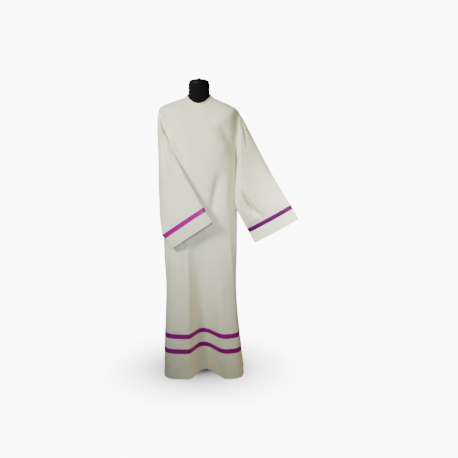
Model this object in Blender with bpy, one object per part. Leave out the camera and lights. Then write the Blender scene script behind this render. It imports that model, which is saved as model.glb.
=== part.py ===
"""Alb robe with ribbon trim, worn by a limbless dress form on a three-armed floor base.

Metres, +Z up, front towards -Y. The origin is on the floor, under the middle of the base.
"""

import math
from collections import namedtuple

import bmesh
import bpy
import numpy as np

# Cloth and seams
WALL = 0.002
RIBBON = 0.0009
SEAM = 0.0003
HALF_SEAM = 0.00016
CLOTH_Y = -0.020  # the shoulder line lies this far in front of the pole

# Armholes, measured up the side line from the floor
SHOULDER_POINT = 1.392
UNDERARM = 1.105
ARMHOLE_HALF_WIDTH = 0.068
ARMHOLE_STEPS = 12

# Trim, measured up from the hem edge
HEM_Z = 0.016
HEM_FOLD = 0.049
RIBBON_WIDTH = 0.025
LOWER_RIBBON = 0.130
UPPER_RIBBON = 0.2055

FRONT_COLUMNS = 32
BACK_COLUMNS = 24

# The body of the robe, as rings. "up" runs up the side line and on along the shoulder to the
# neckline, so that z differs from it only over the shoulders, and in front and behind.
Level = namedtuple(
    "Level", "up right left front back z_right z_left z_front z_back front_power back_power"
)
BODY = (
    Level(1.515, 0.0745, 0.0735, 0.085, 0.062, 1.436, 1.440, 1.374, 1.428, 2.0, 2.0),
    Level(1.472, 0.1120, 0.1150, 0.100, 0.079, 1.419, 1.426, 1.335, 1.398, 2.1, 2.1),
    Level(1.430, 0.1500, 0.1600, 0.111, 0.093, 1.403, 1.409, 1.298, 1.365, 2.2, 2.2),
    Level(1.392, 0.1845, 0.2000, 0.120, 0.104, 1.383, 1.389, 1.262, 1.330, 2.3, 2.2),
    Level(1.345, 0.1900, 0.1930, 0.126, 0.111, 1.345, 1.347, 1.222, 1.288, 2.4, 2.3),
    Level(1.250, 0.1890, 0.1840, 0.131, 0.118, 1.250, 1.250, 1.148, 1.200, 2.5, 2.3),
    Level(1.100, 0.1890, 0.1810, 0.132, 0.122, 1.100, 1.100, 1.035, 1.066, 2.5, 2.3),
    Level(0.950, 0.1905, 0.1830, 0.132, 0.124, 0.950, 0.950, 0.912, 0.930, 2.5, 2.3),
    Level(0.800, 0.1915, 0.1910, 0.133, 0.128, 0.800, 0.800, 0.790, 0.794, 2.6, 2.4),
    Level(0.650, 0.1915, 0.1915, 0.137, 0.134, 0.650, 0.650, 0.650, 0.650, 2.8, 2.4),
    Level(0.450, 0.1875, 0.1825, 0.150, 0.145, 0.450, 0.450, 0.450, 0.450, 3.4, 2.5),
    Level(0.320, 0.1955, 0.1840, 0.167, 0.155, 0.320, 0.320, 0.320, 0.320, 4.3, 2.6),
    Level(0.180, 0.2090, 0.1885, 0.186, 0.163, 0.180, 0.180, 0.180, 0.180, 5.4, 2.7),
    Level(HEM_Z, 0.2280, 0.1905, 0.202, 0.168, HEM_Z, HEM_Z, HEM_Z, HEM_Z, 6.0, 2.8),
)

# The deep front fold of the skirt: across x, it falls in from "starts" to "floor", runs flat to
# "floor_ends" and comes out again by "ends".
Hollow = namedtuple("Hollow", "z starts floor floor_ends ends depth")
HOLLOW = (
    Hollow(0.820, -0.068, -0.052, -0.048, 0.030, 0.000),
    Hollow(0.740, -0.066, -0.040, -0.034, 0.065, 0.008),
    Hollow(0.600, -0.062, -0.016, -0.008, 0.100, 0.030),
    Hollow(0.450, -0.060, -0.008, 0.004, 0.112, 0.058),
    Hollow(0.240, -0.056, 0.000, 0.020, 0.125, 0.099),
    Hollow(0.160, -0.056, 0.002, 0.024, 0.132, 0.108),
    Hollow(HEM_Z, -0.050, 0.007, 0.034, 0.138, 0.126),
)
HOLLOW_LIFT = 0.007  # how much higher the hem hangs where the cloth runs inwards

Fold = namedtuple("Fold", "x half_width depth top")
BACK_FOLDS = (
    Fold(-0.105, 0.048, 0.034, 0.86),
    Fold(0.015, 0.060, 0.046, 0.98),
    Fold(0.135, 0.046, 0.030, 0.78),
)

# Sleeves, as flat closed sections. "front" and "back" are how far the two layers stand off the
# line from top to bottom, and the front layer is on the side that "faces" this many degrees round
# from +X. The right sleeve is held out, the left one swings forward across the front.
Section = namedtuple("Section", "top bottom front back faces")
HELD_OUT = (
    Section((0.2110, -0.001, 1.347), (0.1910, -0.022, 1.072), 0.0660, 0.0660, -90.0),
    Section((0.2510, -0.002, 1.274), (0.1870, -0.048, 0.985), 0.0600, 0.0620, -90.0),
    Section((0.3150, -0.005, 1.151), (0.1850, -0.060, 0.890), 0.0480, 0.0580, -90.0),
    Section((0.3830, -0.010, 1.029), (0.2130, -0.045, 0.828), 0.0420, 0.0460, -90.0),
    Section((0.4420, -0.015, 0.931), (0.2350, -0.028, 0.783), 0.0370, 0.0350, -90.0),
)
HELD_OUT_CUFF = Section(
    (0.5090, -0.022, 0.8200), (0.2840, -0.022, 0.6950), 0.0290, 0.0250, -90.0
)

ACROSS = (
    Section((-0.2090, -0.014, 1.360), (-0.1990, 0.004, 1.072), 0.0640, 0.0450, -72.0),
    Section((-0.1990, -0.072, 1.294), (-0.2070, 0.002, 1.010), 0.0460, 0.0220, -60.0),
    Section((-0.1530, -0.122, 1.212), (-0.2040, -0.010, 0.945), 0.0150, 0.0260, 35.0),
    Section((-0.1020, -0.148, 1.115), (-0.2050, -0.034, 0.885), 0.0140, 0.0280, 55.0),
    Section((-0.0400, -0.166, 1.005), (-0.2010, -0.072, 0.822), 0.0140, 0.0260, 65.0),
)
ACROSS_CUFF = Section(
    (0.0690, -0.190, 0.8270), (-0.1400, -0.140, 0.6810), 0.0160, 0.0250, 77.0
)

CUFF_RIBBON_TOP = 0.086  # from the cuff edge
CUFF_RIBBON_BOTTOM = 0.061
CUFF_FOLD = 0.030
SLEEVE_CLEARANCE = 0.004
TURN_IN = 0.003  # how the sleeve's cloth turns away from the armhole edge, at the underarm
TURN_OUT = 0.007
TURN_OVER = 0.009  # and over the shoulder point
FOLD_IN = 0.005  # and where the left sleeve folds forward at the front of its armhole
FOLD_OUT = 0.004
FOLD_CLEARANCE = 0.008

# The stand collar. Its ends meet over the right-hand shoulder seam.
NECK_X = -0.003  # the neck and the collar's top edge stand this far off the middle
COLLAR_HALF_WIDTH = 0.0615
COLLAR_FRONT = 0.070
COLLAR_BACK = 0.058
COLLAR_TOP_SIDE = 1.4545
COLLAR_TOP_FRONT = 1.4075
COLLAR_TOP_BACK = 1.462
COLLAR_ROWS = 3
COLLAR_BOW = 0.0025

# The dress form below the shoulders, which the cloth does not touch
FORM = (
    Level(1.340, 0.1800, 0.1800, 0.114, 0.100, 1.336, 1.336, 1.214, 1.280, 2.2, 2.2),
    Level(1.250, 0.1640, 0.1640, 0.116, 0.101, 1.248, 1.248, 1.140, 1.200, 2.2, 2.2),
    Level(1.120, 0.1480, 0.1480, 0.112, 0.094, 1.110, 1.110, 1.050, 1.080, 2.1, 2.1),
    Level(0.990, 0.1270, 0.1270, 0.094, 0.084, 0.985, 0.985, 0.975, 0.980, 2.1, 2.1),
    Level(0.880, 0.1460, 0.1460, 0.101, 0.100, 0.880, 0.880, 0.880, 0.880, 2.1, 2.1),
    Level(0.790, 0.1560, 0.1560, 0.104, 0.106, 0.790, 0.790, 0.790, 0.790, 2.1, 2.1),
    Level(0.735, 0.1500, 0.1500, 0.099, 0.101, 0.735, 0.735, 0.735, 0.735, 2.1, 2.1),
)
FORM_BOTTOM = 0.725
FORM_BOTTOM_INSET = 0.92
FORM_REST_ROWS = 5  # the shoulder rows that follow the cloth; it rests on all but the last
FORM_EASE = 0.004

Ring = namedtuple("Ring", "half_width front back z_side z_front z_back")
NECK = (
    Ring(0.0540, 0.050, 0.049, 1.5050, 1.5050, 1.5050),
    Ring(0.0540, 0.050, 0.049, 1.4700, 1.4650, 1.4700),
    Ring(0.0550, 0.053, 0.050, 1.4480, 1.4250, 1.4480),
    Ring(0.0610, 0.066, 0.053, 1.4370, 1.3880, 1.4330),
)

CAP_SIDES = 32
CAP_RADIUS = 0.0530
CAP_TOP = 1.5314
KNOB_RADIUS = 0.006
KNOB_HEIGHT = 0.005

# Pole and base
POLE_RADIUS = 0.013
POLE_SIDES = 24
BASE_THICKNESS = 0.006
ARM_REACH = 0.190
ARM_WIDTH = 0.030
ARM_ANGLES = (-30.0, 90.0, 210.0)
HUB_RADIUS = 0.036
SOCKET_RADIUS = 0.021
SOCKET_TOP = 0.050


def smooth(share):
    share = np.clip(share, 0.0, 1.0)
    return share * share * (3.0 - 2.0 * share)


def between(rows, key, name, at):
    """One named column of a table at "at", on a smooth curve through its rows."""
    keys = np.array([getattr(row, key) for row in rows])
    values = np.array([getattr(row, name) for row in rows])
    if keys[0] > keys[-1]:
        keys = keys[::-1]
        values = values[::-1]
    at = np.clip(at, keys[0], keys[-1])
    slopes = np.gradient(values, keys)
    steps = np.diff(keys)
    index = np.clip(np.searchsorted(keys, at, side="right") - 1, 0, len(keys) - 2)
    step = steps[index]
    t = (at - keys[index]) / step
    return (
        (2 * t**3 - 3 * t**2 + 1) * values[index]
        + (t**3 - 2 * t**2 + t) * step * slopes[index]
        + (3 * t**2 - 2 * t**3) * values[index + 1]
        + (t**3 - t**2) * step * slopes[index + 1]
    )


def hollow_depth(x, z):
    starts = between(HOLLOW, "z", "starts", z)
    floor = between(HOLLOW, "z", "floor", z)
    floor_ends = between(HOLLOW, "z", "floor_ends", z)
    ends = between(HOLLOW, "z", "ends", z)
    depth = np.maximum(between(HOLLOW, "z", "depth", z), 0.0)
    falls = smooth((x - starts) / (floor - starts))
    rises = smooth((ends - x) / (ends - floor_ends))
    return depth * np.minimum(falls, rises)


def back_fold_depth(x, z):
    total = np.zeros_like(x)
    for fold in BACK_FOLDS:
        across = np.clip(np.abs(x - fold.x) / fold.half_width, 0.0, 1.0)
        grown = smooth((fold.top - z) / fold.top)
        total += fold.depth * grown * np.cos(0.5 * math.pi * across) ** 2
    return total


def half_ring(levels, up, side, folded=True):
    """Half of a ring as a dense line from the right side to the left one.

    side is -1 through the front and +1 through the back.
    """
    turn = np.linspace(0.0, math.pi, 721)
    name = "front" if side < 0 else "back"
    depth = between(levels, "up", name, up)
    power = between(levels, "up", name + "_power", up)
    right = between(levels, "up", "right", up)
    left = between(levels, "up", "left", up)
    width = np.where(turn < 0.5 * math.pi, right, left)
    reach = (
        np.abs(np.cos(turn) / width) ** power + np.abs(np.sin(turn) / depth) ** power
    ) ** (-1.0 / power)
    x = reach * np.cos(turn)
    y = side * reach * np.sin(turn)
    z_right = between(levels, "up", "z_right", up)
    z_left = between(levels, "up", "z_left", up)
    z_side = np.where(turn < 0.5 * math.pi, z_right, z_left)
    to_middle = np.sin(turn) ** 2
    z = z_side + (between(levels, "up", "z_" + name, up) - z_side) * to_middle
    if folded and side < 0:
        inward = hollow_depth(x, z)
        y = y + inward
        z = z + HOLLOW_LIFT * inward / HOLLOW[-1].depth
    elif folded:
        y = y - back_fold_depth(x, z)
    return np.stack([x, y + CLOTH_Y, z], axis=1)


def lengths_along(points):
    steps = np.linalg.norm(np.diff(points, axis=0), axis=1)
    return np.concatenate([[0.0], np.cumsum(steps)])


def at_lengths(points, wanted):
    along = lengths_along(points)
    return np.stack([np.interp(wanted, along, points[:, k]) for k in range(3)], axis=1)


def armhole_width(up):
    """How far the armhole reaches from the side line at this height."""
    middle = 0.5 * (SHOULDER_POINT + UNDERARM)
    half = 0.5 * (SHOULDER_POINT - UNDERARM)
    inside = 1.0 - ((up - middle) / half) ** 2
    return ARMHOLE_HALF_WIDTH * math.sqrt(max(inside, 0.0))


def unit(vectors):
    return vectors / np.linalg.norm(vectors, axis=-1, keepdims=True)


def body_row(up, side, columns, edge=None):
    """Points and outward normals of one row of the front or back panel."""
    if edge is None:
        edge = max(armhole_width(up), HALF_SEAM)
    step = 0.0015
    rows = []
    for height in (up, up + step, up - step):
        ring = half_ring(BODY, height, side)
        total = lengths_along(ring)[-1]
        share = np.linspace(edge / total, 1.0 - edge / total, columns + 1)
        rows.append(at_lengths(ring, share * total))
        if height == up:
            nudge = 0.0006
            ahead = at_lengths(ring, np.minimum(share * total + nudge, total))
            behind = at_lengths(ring, np.maximum(share * total - nudge, 0.0))
    points, above, below = rows
    normals = unit(np.cross(ahead - behind, above - below)) * side
    return points, normals


def panel_heights():
    """The rows of both body panels, from the neckline to the hem."""
    heights = list(np.linspace(1.515, SHOULDER_POINT, 5))
    middle = 0.5 * (SHOULDER_POINT + UNDERARM)
    half = 0.5 * (SHOULDER_POINT - UNDERARM)
    for step in range(1, ARMHOLE_STEPS):
        heights.append(middle + half * math.cos(math.pi * step / ARMHOLE_STEPS))
    heights.append(UNDERARM)
    heights += list(np.linspace(UNDERARM, 0.30, 13))[1:]
    for ribbon in (UPPER_RIBBON, LOWER_RIBBON):
        heights += [HEM_Z + ribbon + RIBBON_WIDTH, HEM_Z + ribbon]
    heights += [0.105, HEM_Z + HEM_FOLD, 0.040, HEM_Z]
    return heights


def panel_grid(side, columns):
    """A panel's rows of points and normals. The front runs from right to left, the back on round."""
    rows = [body_row(up, side, columns) for up in panel_heights()]
    points = np.array([row[0] for row in rows])
    normals = np.array([row[1] for row in rows])
    if side > 0:
        return points[:, ::-1], normals[:, ::-1]
    return points, normals


def shorter_cuts(first, second):
    """For each four-sided cell between two rows of points, whether its other diagonal is shorter."""
    one = np.linalg.norm(first - np.roll(second, -1, axis=0), axis=1)
    other = np.linalg.norm(np.roll(first, -1, axis=0) - second, axis=1)
    return other < one


def face_strip(first, second, closed, flip=False, crossed=None):
    """Triangles between two rows of vertex numbers, cut along the other diagonal where "crossed"."""
    faces = []
    count = len(first)
    for i in range(count if closed else count - 1):
        j = (i + 1) % count
        if crossed is not None and crossed[i]:
            pair = [(first[i], second[i], first[j]), (first[j], second[i], second[j])]
        else:
            pair = [(first[i], second[i], second[j]), (first[i], second[j], first[j])]
        faces += [face[::-1] for face in pair] if flip else pair
    return faces


def make_object(name, points, faces, material):
    mesh = bpy.data.meshes.new(name)
    mesh.from_pydata([tuple(map(float, p)) for p in points], [], faces)
    shape = bmesh.new()
    shape.from_mesh(mesh)
    if shape.calc_volume(signed=True) < 0.0:
        bmesh.ops.reverse_faces(shape, faces=shape.faces)
    shape.to_mesh(mesh)
    shape.free()
    mesh.shade_smooth()
    mesh.set_sharp_from_angle(angle=math.radians(40))
    mesh.materials.append(material)
    obj = bpy.data.objects.new(name, mesh)
    bpy.context.scene.collection.objects.link(obj)
    return obj


def make_wall(name, outer, inner, closed, material, like=None, even_rows=0):
    """A wall between two grids of points, whose cells are cut as on the grid "like".

    The first "even_rows" are all cut along the same diagonal.
    """
    like = outer if like is None else like
    rows, columns = outer.shape[:2]
    points = np.concatenate([outer.reshape(-1, 3), inner.reshape(-1, 3)])
    number = np.arange(rows * columns).reshape(rows, columns)
    under = number + rows * columns
    faces = []
    for r in range(rows - 1):
        crossed = shorter_cuts(like[r], like[r + 1]) if r >= even_rows else None
        faces += face_strip(number[r], number[r + 1], closed, crossed=crossed)
        faces += face_strip(under[r], under[r + 1], closed, flip=True, crossed=crossed)
    faces += face_strip(number[0], under[0], closed, flip=True)
    faces += face_strip(number[-1], under[-1], closed)
    if not closed:
        faces += face_strip(number[:, 0], under[:, 0], False)
        faces += face_strip(number[:, -1], under[:, -1], False, flip=True)
    return make_object(name, points, [tuple(map(int, f)) for f in faces], material)


def make_ribbon(name, points, normals, closed, material):
    """A ribbon on a panel, from the panel's own points moved out."""
    outer = points + normals * (SEAM + RIBBON)
    inner = points + normals * SEAM
    return make_wall(name, outer, inner, closed, material, like=points)


def make_loft(name, rings, material):
    """A solid through closed rings, with both ends closed."""
    rows = len(rings)
    columns = len(rings[0])
    middles = [np.mean(rings[0], axis=0), np.mean(rings[-1], axis=0)]
    points = np.concatenate([np.concatenate(rings), np.array(middles)])
    number = np.arange(rows * columns).reshape(rows, columns)
    faces = []
    for r in range(rows - 1):
        faces += face_strip(number[r], number[r + 1], True)
    for i in range(columns):
        j = (i + 1) % columns
        faces.append((number[0][j], rows * columns, number[0][i]))
        faces.append((number[-1][i], rows * columns + 1, number[-1][j]))
    return make_object(name, points, [tuple(map(int, f)) for f in faces], material)


def body_panels(materials):
    front, front_normals = panel_grid(-1, FRONT_COLUMNS)
    back, back_normals = panel_grid(1, BACK_COLUMNS)
    inner = front - front_normals * WALL
    make_wall("front", front, inner, False, materials["cloth"], even_rows=FORM_REST_ROWS)
    inner = back - back_normals * WALL
    make_wall("back", back, inner, False, materials["cloth"], even_rows=FORM_REST_ROWS)
    return front, front_normals, back, back_normals


def around(front, back, row):
    """One row of both panels as a closed ring from the right side through the front."""
    return np.concatenate([front[row], back[row]])


def hem_ribbons(front, front_normals, back, back_normals, materials):
    heights = panel_heights()
    for name, start in (("hem_ribbon_upper", UPPER_RIBBON), ("hem_ribbon_lower", LOWER_RIBBON)):
        top = heights.index(HEM_Z + start + RIBBON_WIDTH)
        points = np.array([around(front, back, top), around(front, back, top + 1)])
        normals = np.array(
            [
                around(front_normals, back_normals, top),
                around(front_normals, back_normals, top + 1),
            ]
        )
        make_ribbon(name, points, normals, True, materials["ribbon"])


def collar(front, front_normals, back, back_normals, materials):
    """The stand collar, from the front end over the right shoulder round to the back end."""
    line = around(front, back, 0)
    normals = around(front_normals, back_normals, 0)
    below = around(front, back, 1)
    climb = unit(line - below)
    base = line + climb * SEAM
    seen = np.array([0.0, CLOTH_Y, 0.0])
    angle = np.arctan2((base - seen)[:, 1], (base - seen)[:, 0])
    depth = np.where(angle < 0.0, COLLAR_FRONT, COLLAR_BACK)
    z_end = np.where(angle < 0.0, COLLAR_TOP_FRONT, COLLAR_TOP_BACK)
    top = np.stack(
        [
            NECK_X + COLLAR_HALF_WIDTH * np.cos(angle),
            depth * np.sin(angle) + CLOTH_Y,
            COLLAR_TOP_SIDE + (z_end - COLLAR_TOP_SIDE) * np.sin(angle) ** 2,
        ],
        axis=1,
    )
    outward = unit((base - seen) * np.array([1.0, 1.0, 0.0]))
    outer = []
    inner = []
    for row in range(COLLAR_ROWS + 1):
        share = row / COLLAR_ROWS
        bow = COLLAR_BOW * math.sin(math.pi * share)
        points = base + (top - base) * share - outward * bow
        facing = unit(normals + (outward - normals) * min(1.0, 3.0 * share))
        outer.append(points)
        inner.append(points - facing * WALL)
    make_wall("collar", np.array(outer), np.array(inner), False, materials["cloth"])


def armhole_loop(left, points_of):
    """The armhole's edge, from the shoulder point down the front and up the back."""
    first = panel_heights().index(SHOULDER_POINT)
    last = first + ARMHOLE_STEPS
    at_front, at_back = (-1, 0) if left else (0, -1)
    front, front_normals, back, back_normals = points_of
    line = [0.5 * (front[first][at_front] + back[first][at_back])]
    facing = [front_normals[first][at_front]]
    for row in range(first + 1, last):
        line.append(front[row][at_front])
        facing.append(front_normals[row][at_front])
    line.append(0.5 * (front[last][at_front] + back[last][at_back]))
    facing.append(front_normals[last][at_front])
    for row in range(last - 1, first, -1):
        line.append(back[row][at_back])
        facing.append(back_normals[row][at_back])
    line = np.array(line)
    facing = np.array(facing)
    tangent = unit(np.roll(line, -1, axis=0) - np.roll(line, 1, axis=0))
    into_hole = unit(np.cross(facing, tangent))
    middle = line.mean(axis=0)
    if np.sum(into_hole * (middle - line)) < 0.0:
        into_hole = -into_hole
    return line, facing, into_hole


def section_ring(section, count):
    """A flat closed section from its top, down its front layer and up its back layer."""
    top = np.array(section.top) + np.array([0.0, CLOTH_Y, 0.0])
    bottom = np.array(section.bottom) + np.array([0.0, CLOTH_Y, 0.0])
    middle = 0.5 * (top + bottom)
    half = 0.5 * (top - bottom)
    heading = math.radians(section.faces)
    across = np.array([math.cos(heading), math.sin(heading), 0.0])
    across = unit(across - half * np.dot(across, half) / np.dot(half, half))
    ring = []
    for i in range(count):
        turn = 2.0 * math.pi * i / count
        reach = section.front if math.sin(turn) > 0.0 else section.back
        ring.append(middle + half * math.cos(turn) + across * reach * math.sin(turn))
    return np.array(ring)


def along_cuff(cuff, axis, distance):
    """The cuff's own section, moved this far up the sleeve."""
    back = axis * distance
    return cuff._replace(
        top=tuple(np.array(cuff.top) - back), bottom=tuple(np.array(cuff.bottom) - back)
    )


def clear_of_body(point, clearance):
    """Moves a point of a sleeve outwards until it is this far off the body."""
    x, y, up = point
    y -= CLOTH_Y
    turn = math.atan2(abs(y), x)
    name = "front" if y < 0.0 else "back"
    width = between(BODY, "up", "right" if x > 0.0 else "left", up)
    depth = between(BODY, "up", name, up)
    power = between(BODY, "up", name + "_power", up)
    reach = (
        abs(math.cos(turn) / width) ** power + abs(math.sin(turn) / depth) ** power
    ) ** (-1.0 / power)
    distance = math.hypot(x, y)
    if distance >= reach + clearance:
        return point
    grow = (reach + clearance) / distance
    return np.array([x * grow, y * grow + CLOTH_Y, up])


def sleeve(name, left, sections, cuff, points_of, materials):
    line, facing, into_hole = armhole_loop(left, points_of)
    count = len(line)
    axis = unit(np.array(cuff.top) - np.array(sections[-1].top))
    flat = np.array(cuff.top) - np.array(cuff.bottom)
    axis = unit(axis - flat * np.dot(axis, flat) / np.dot(flat, flat))
    rows = list(sections) + [
        along_cuff(cuff, axis, CUFF_RIBBON_TOP),
        along_cuff(cuff, axis, CUFF_RIBBON_BOTTOM),
        along_cuff(cuff, axis, CUFF_FOLD),
        cuff,
    ]
    start = line + into_hole * SEAM
    turn = 2.0 * math.pi * np.arange(count) / count
    at_top = (0.5 + 0.5 * np.cos(turn))[:, None]
    inward = TURN_IN + (TURN_OVER - TURN_IN) * at_top
    outward = TURN_OUT + (TURN_IN - TURN_OUT) * at_top
    if left:
        at_front = np.maximum(np.sin(turn), 0.0)[:, None]
        inward += (FOLD_IN - inward) * at_front
        outward += (FOLD_OUT - outward) * at_front
    rings = [start, start + into_hole * inward + facing * outward]
    for row in rows:
        rings.append(section_ring(row, count))
    outer = np.array(refine(rings))
    for row in range(2, len(outer)):
        at_armhole = max(0.0, 1.0 - (row - 2) / 4.0) if left else 0.0
        clearance = SLEEVE_CLEARANCE + (FOLD_CLEARANCE - SLEEVE_CLEARANCE) * at_armhole
        outer[row] = [clear_of_body(point, clearance) for point in outer[row]]
    normals = grid_normals(outer)
    normals[0] = facing
    normals[-4:] = normals[-1]
    make_wall(name, outer, outer - normals * WALL, True, materials["cloth"])
    make_ribbon(name + "_ribbon", outer[-4:-2], normals[-4:-2], True, materials["ribbon"])


def refine(rings):
    """Adds a smooth row in the middle of each long stretch between the shaped sections."""
    rings = np.array(rings)
    result = [rings[0], rings[1]]
    for k in range(1, len(rings) - 5):
        before = rings[k - 1]
        after = rings[k + 2]
        result.append((9.0 * (rings[k] + rings[k + 1]) - before - after) / 16.0)
        result.append(rings[k + 1])
    result += list(rings[len(rings) - 4 :])
    return result


def grid_normals(grid):
    """Outward normals of a tube of rings."""
    around_ring = np.roll(grid, -1, axis=1) - np.roll(grid, 1, axis=1)
    down = np.gradient(grid, axis=0)
    normals = unit(np.cross(around_ring, down))
    middles = grid.mean(axis=1, keepdims=True)
    if np.sum(normals * (grid - middles)) < 0.0:
        normals = -normals
    return normals


def form_ring(level):
    """A whole ring of the dress form, with a point at each column of the panels."""
    front = half_ring(FORM, level.up, -1, folded=False)
    back = half_ring(FORM, level.up, 1, folded=False)
    front_length = lengths_along(front)[-1]
    back_length = lengths_along(back)[-1]
    points = at_lengths(front, np.linspace(0.0, front_length, FRONT_COLUMNS + 1))
    behind = at_lengths(back, np.linspace(0.0, back_length, BACK_COLUMNS + 1))
    return np.concatenate([points, behind[::-1][1:-1]])


def rest_ring(points_of, row):
    """The form's ring just inside one row of the cloth that rests on it."""
    front, front_normals, back, back_normals = points_of
    points = np.concatenate([front[row], back[row][1:-1]])
    normals = np.concatenate([front_normals[row], back_normals[row][1:-1]])
    ease = FORM_EASE if row == FORM_REST_ROWS - 1 else 0.0
    return points - normals * (WALL + SEAM + ease)


def neck_ring(ring, like):
    """An oval ring of the neck, with its points in the same directions as those of another ring."""
    turn = np.arctan2(like[:, 1] - CLOTH_Y, like[:, 0])
    forward = np.sin(turn) < 0.0
    depth = np.where(forward, ring.front, ring.back)
    z_end = np.where(forward, ring.z_front, ring.z_back)
    return np.stack(
        [
            NECK_X + ring.half_width * np.cos(turn),
            CLOTH_Y + depth * np.sin(turn),
            ring.z_side + (z_end - ring.z_side) * np.sin(turn) ** 2,
        ],
        axis=1,
    )


def dress_form(points_of, materials):
    shoulders = [rest_ring(points_of, row) for row in range(FORM_REST_ROWS)]
    rings = [neck_ring(ring, shoulders[0]) for ring in NECK]
    rings += shoulders
    rings += [form_ring(level) for level in FORM]
    middle = rings[-1].mean(axis=0)
    bottom = middle + (rings[-1] - middle) * FORM_BOTTOM_INSET
    bottom[:, 2] = FORM_BOTTOM
    rings.append(bottom)
    make_loft("form_torso", rings, materials["jersey"])


def turned(name, profile, sides, centre, material):
    """A solid turned about the vertical line through the centre."""
    rings = []
    for radius, z in profile:
        ring = []
        for i in range(sides):
            turn = -2.0 * math.pi * i / sides
            x = centre[0] + radius * math.cos(turn)
            ring.append((x, centre[1] + radius * math.sin(turn), z))
        rings.append(np.array(ring))
    return make_loft(name, rings, material)


def neck_cap(materials):
    bottom = NECK[0].z_side + SEAM
    rise = CAP_TOP - bottom
    profile = [(KNOB_RADIUS * 0.7, CAP_TOP + KNOB_HEIGHT), (KNOB_RADIUS, CAP_TOP + KNOB_HEIGHT * 0.5)]
    for degrees in (8, 20, 35, 52, 70, 90):
        turn = math.radians(degrees)
        radius = CAP_RADIUS * math.sin(turn) ** 0.6
        profile.append((max(radius, KNOB_RADIUS), bottom + rise * math.cos(turn) ** 0.8))
    turned("form_neck_cap", profile, CAP_SIDES, (NECK_X, CLOTH_Y), materials["lacquer"])


def pole(materials):
    bottom = BASE_THICKNESS + SEAM
    top = FORM_BOTTOM - SEAM
    profile = [(POLE_RADIUS, top), (POLE_RADIUS, bottom)]
    turned("form_pole", profile, POLE_SIDES, (0.0, 0.0), materials["steel"])


def base_outline():
    """The base's plan: a hub with three straight arms that end in half circles."""
    points = []
    half = 0.5 * ARM_WIDTH
    reach = ARM_REACH - half
    for degrees in ARM_ANGLES:
        heading = math.radians(degrees)
        root = math.asin(half / HUB_RADIUS)
        points.append((HUB_RADIUS * math.cos(heading - root), HUB_RADIUS * math.sin(heading - root)))
        for step in range(9):
            turn = heading - 0.5 * math.pi + math.pi * step / 8
            points.append(
                (
                    reach * math.cos(heading) + half * math.cos(turn),
                    reach * math.sin(heading) + half * math.sin(turn),
                )
            )
        points.append((HUB_RADIUS * math.cos(heading + root), HUB_RADIUS * math.sin(heading + root)))
        gap_middle = heading + math.radians(60)
        points.append((HUB_RADIUS * math.cos(gap_middle), HUB_RADIUS * math.sin(gap_middle)))
    return points


def floor_base(materials):
    """The flat base with the pole's socket standing on it, in one piece."""
    shape = bmesh.new()
    outline = [shape.verts.new((x, y, 0.0)) for x, y in base_outline()]
    face = shape.faces.new(outline)
    plate = bmesh.ops.extrude_face_region(shape, geom=[face])
    raised = [v for v in plate["geom"] if isinstance(v, bmesh.types.BMVert)]
    bmesh.ops.translate(shape, verts=raised, vec=(0.0, 0.0, BASE_THICKNESS))
    bmesh.ops.recalc_face_normals(shape, faces=shape.faces)
    mesh = bpy.data.meshes.new("base")
    shape.to_mesh(mesh)
    shape.free()
    mesh.materials.append(materials["steel"])
    base = bpy.data.objects.new("base", mesh)
    bpy.context.scene.collection.objects.link(base)

    sunk = 0.5 * BASE_THICKNESS
    bore = POLE_RADIUS + SEAM
    wall_loop = [
        np.array(
            [
                (radius * math.cos(turn), radius * math.sin(turn), z)
                for turn in (-2.0 * math.pi * i / POLE_SIDES for i in range(POLE_SIDES))
            ]
        )
        for radius, z in ((SOCKET_RADIUS, sunk), (SOCKET_RADIUS, SOCKET_TOP))
    ]
    bore_loop = [ring.copy() for ring in wall_loop]
    for ring in bore_loop:
        ring[:, :2] *= bore / SOCKET_RADIUS
    socket = make_wall(
        "socket", np.array(wall_loop), np.array(bore_loop), True, materials["steel"]
    )
    socket.hide_render = True
    socket.display_type = "WIRE"
    joined = base.modifiers.new("socket", "BOOLEAN")
    joined.operation = "UNION"
    joined.object = socket
    return base


def make_material(name, colour, roughness, metallic=0.0):
    material = bpy.data.materials.new(name)
    material.use_nodes = True
    shader = material.node_tree.nodes["Principled BSDF"]
    shader.inputs["Base Color"].default_value = (*colour, 1.0)
    shader.inputs["Roughness"].default_value = roughness
    shader.inputs["Metallic"].default_value = metallic
    return material


def make_materials():
    return {
        "cloth": make_material("ivory wool blend", (0.72, 0.70, 0.60), 0.85),
        "ribbon": make_material("magenta satin ribbon", (0.36, 0.02, 0.27), 0.45),
        "jersey": make_material("black jersey", (0.012, 0.012, 0.011), 0.9),
        "lacquer": make_material("black lacquer", (0.010, 0.010, 0.010), 0.45),
        "steel": make_material("black coated steel", (0.02, 0.02, 0.02), 0.5),
    }


def main():
    for obj in list(bpy.data.objects):
        bpy.data.objects.remove(obj)
    materials = make_materials()
    points_of = body_panels(materials)
    hem_ribbons(*points_of, materials)
    collar(*points_of, materials)
    sleeve("sleeve_right", False, HELD_OUT, HELD_OUT_CUFF, points_of, materials)
    sleeve("sleeve_left", True, ACROSS, ACROSS_CUFF, points_of, materials)
    dress_form(points_of, materials)
    neck_cap(materials)
    pole(materials)
    floor_base(materials)


main()
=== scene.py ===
# Alb robe with ribbon trim on a black dress form: the looks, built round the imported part.
# Metres, +Z up, front towards -Y, origin on the floor under the pole.

import math

import bmesh
import bpy
import numpy as np
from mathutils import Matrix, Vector
from mathutils.bvhtree import BVHTree


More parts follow.
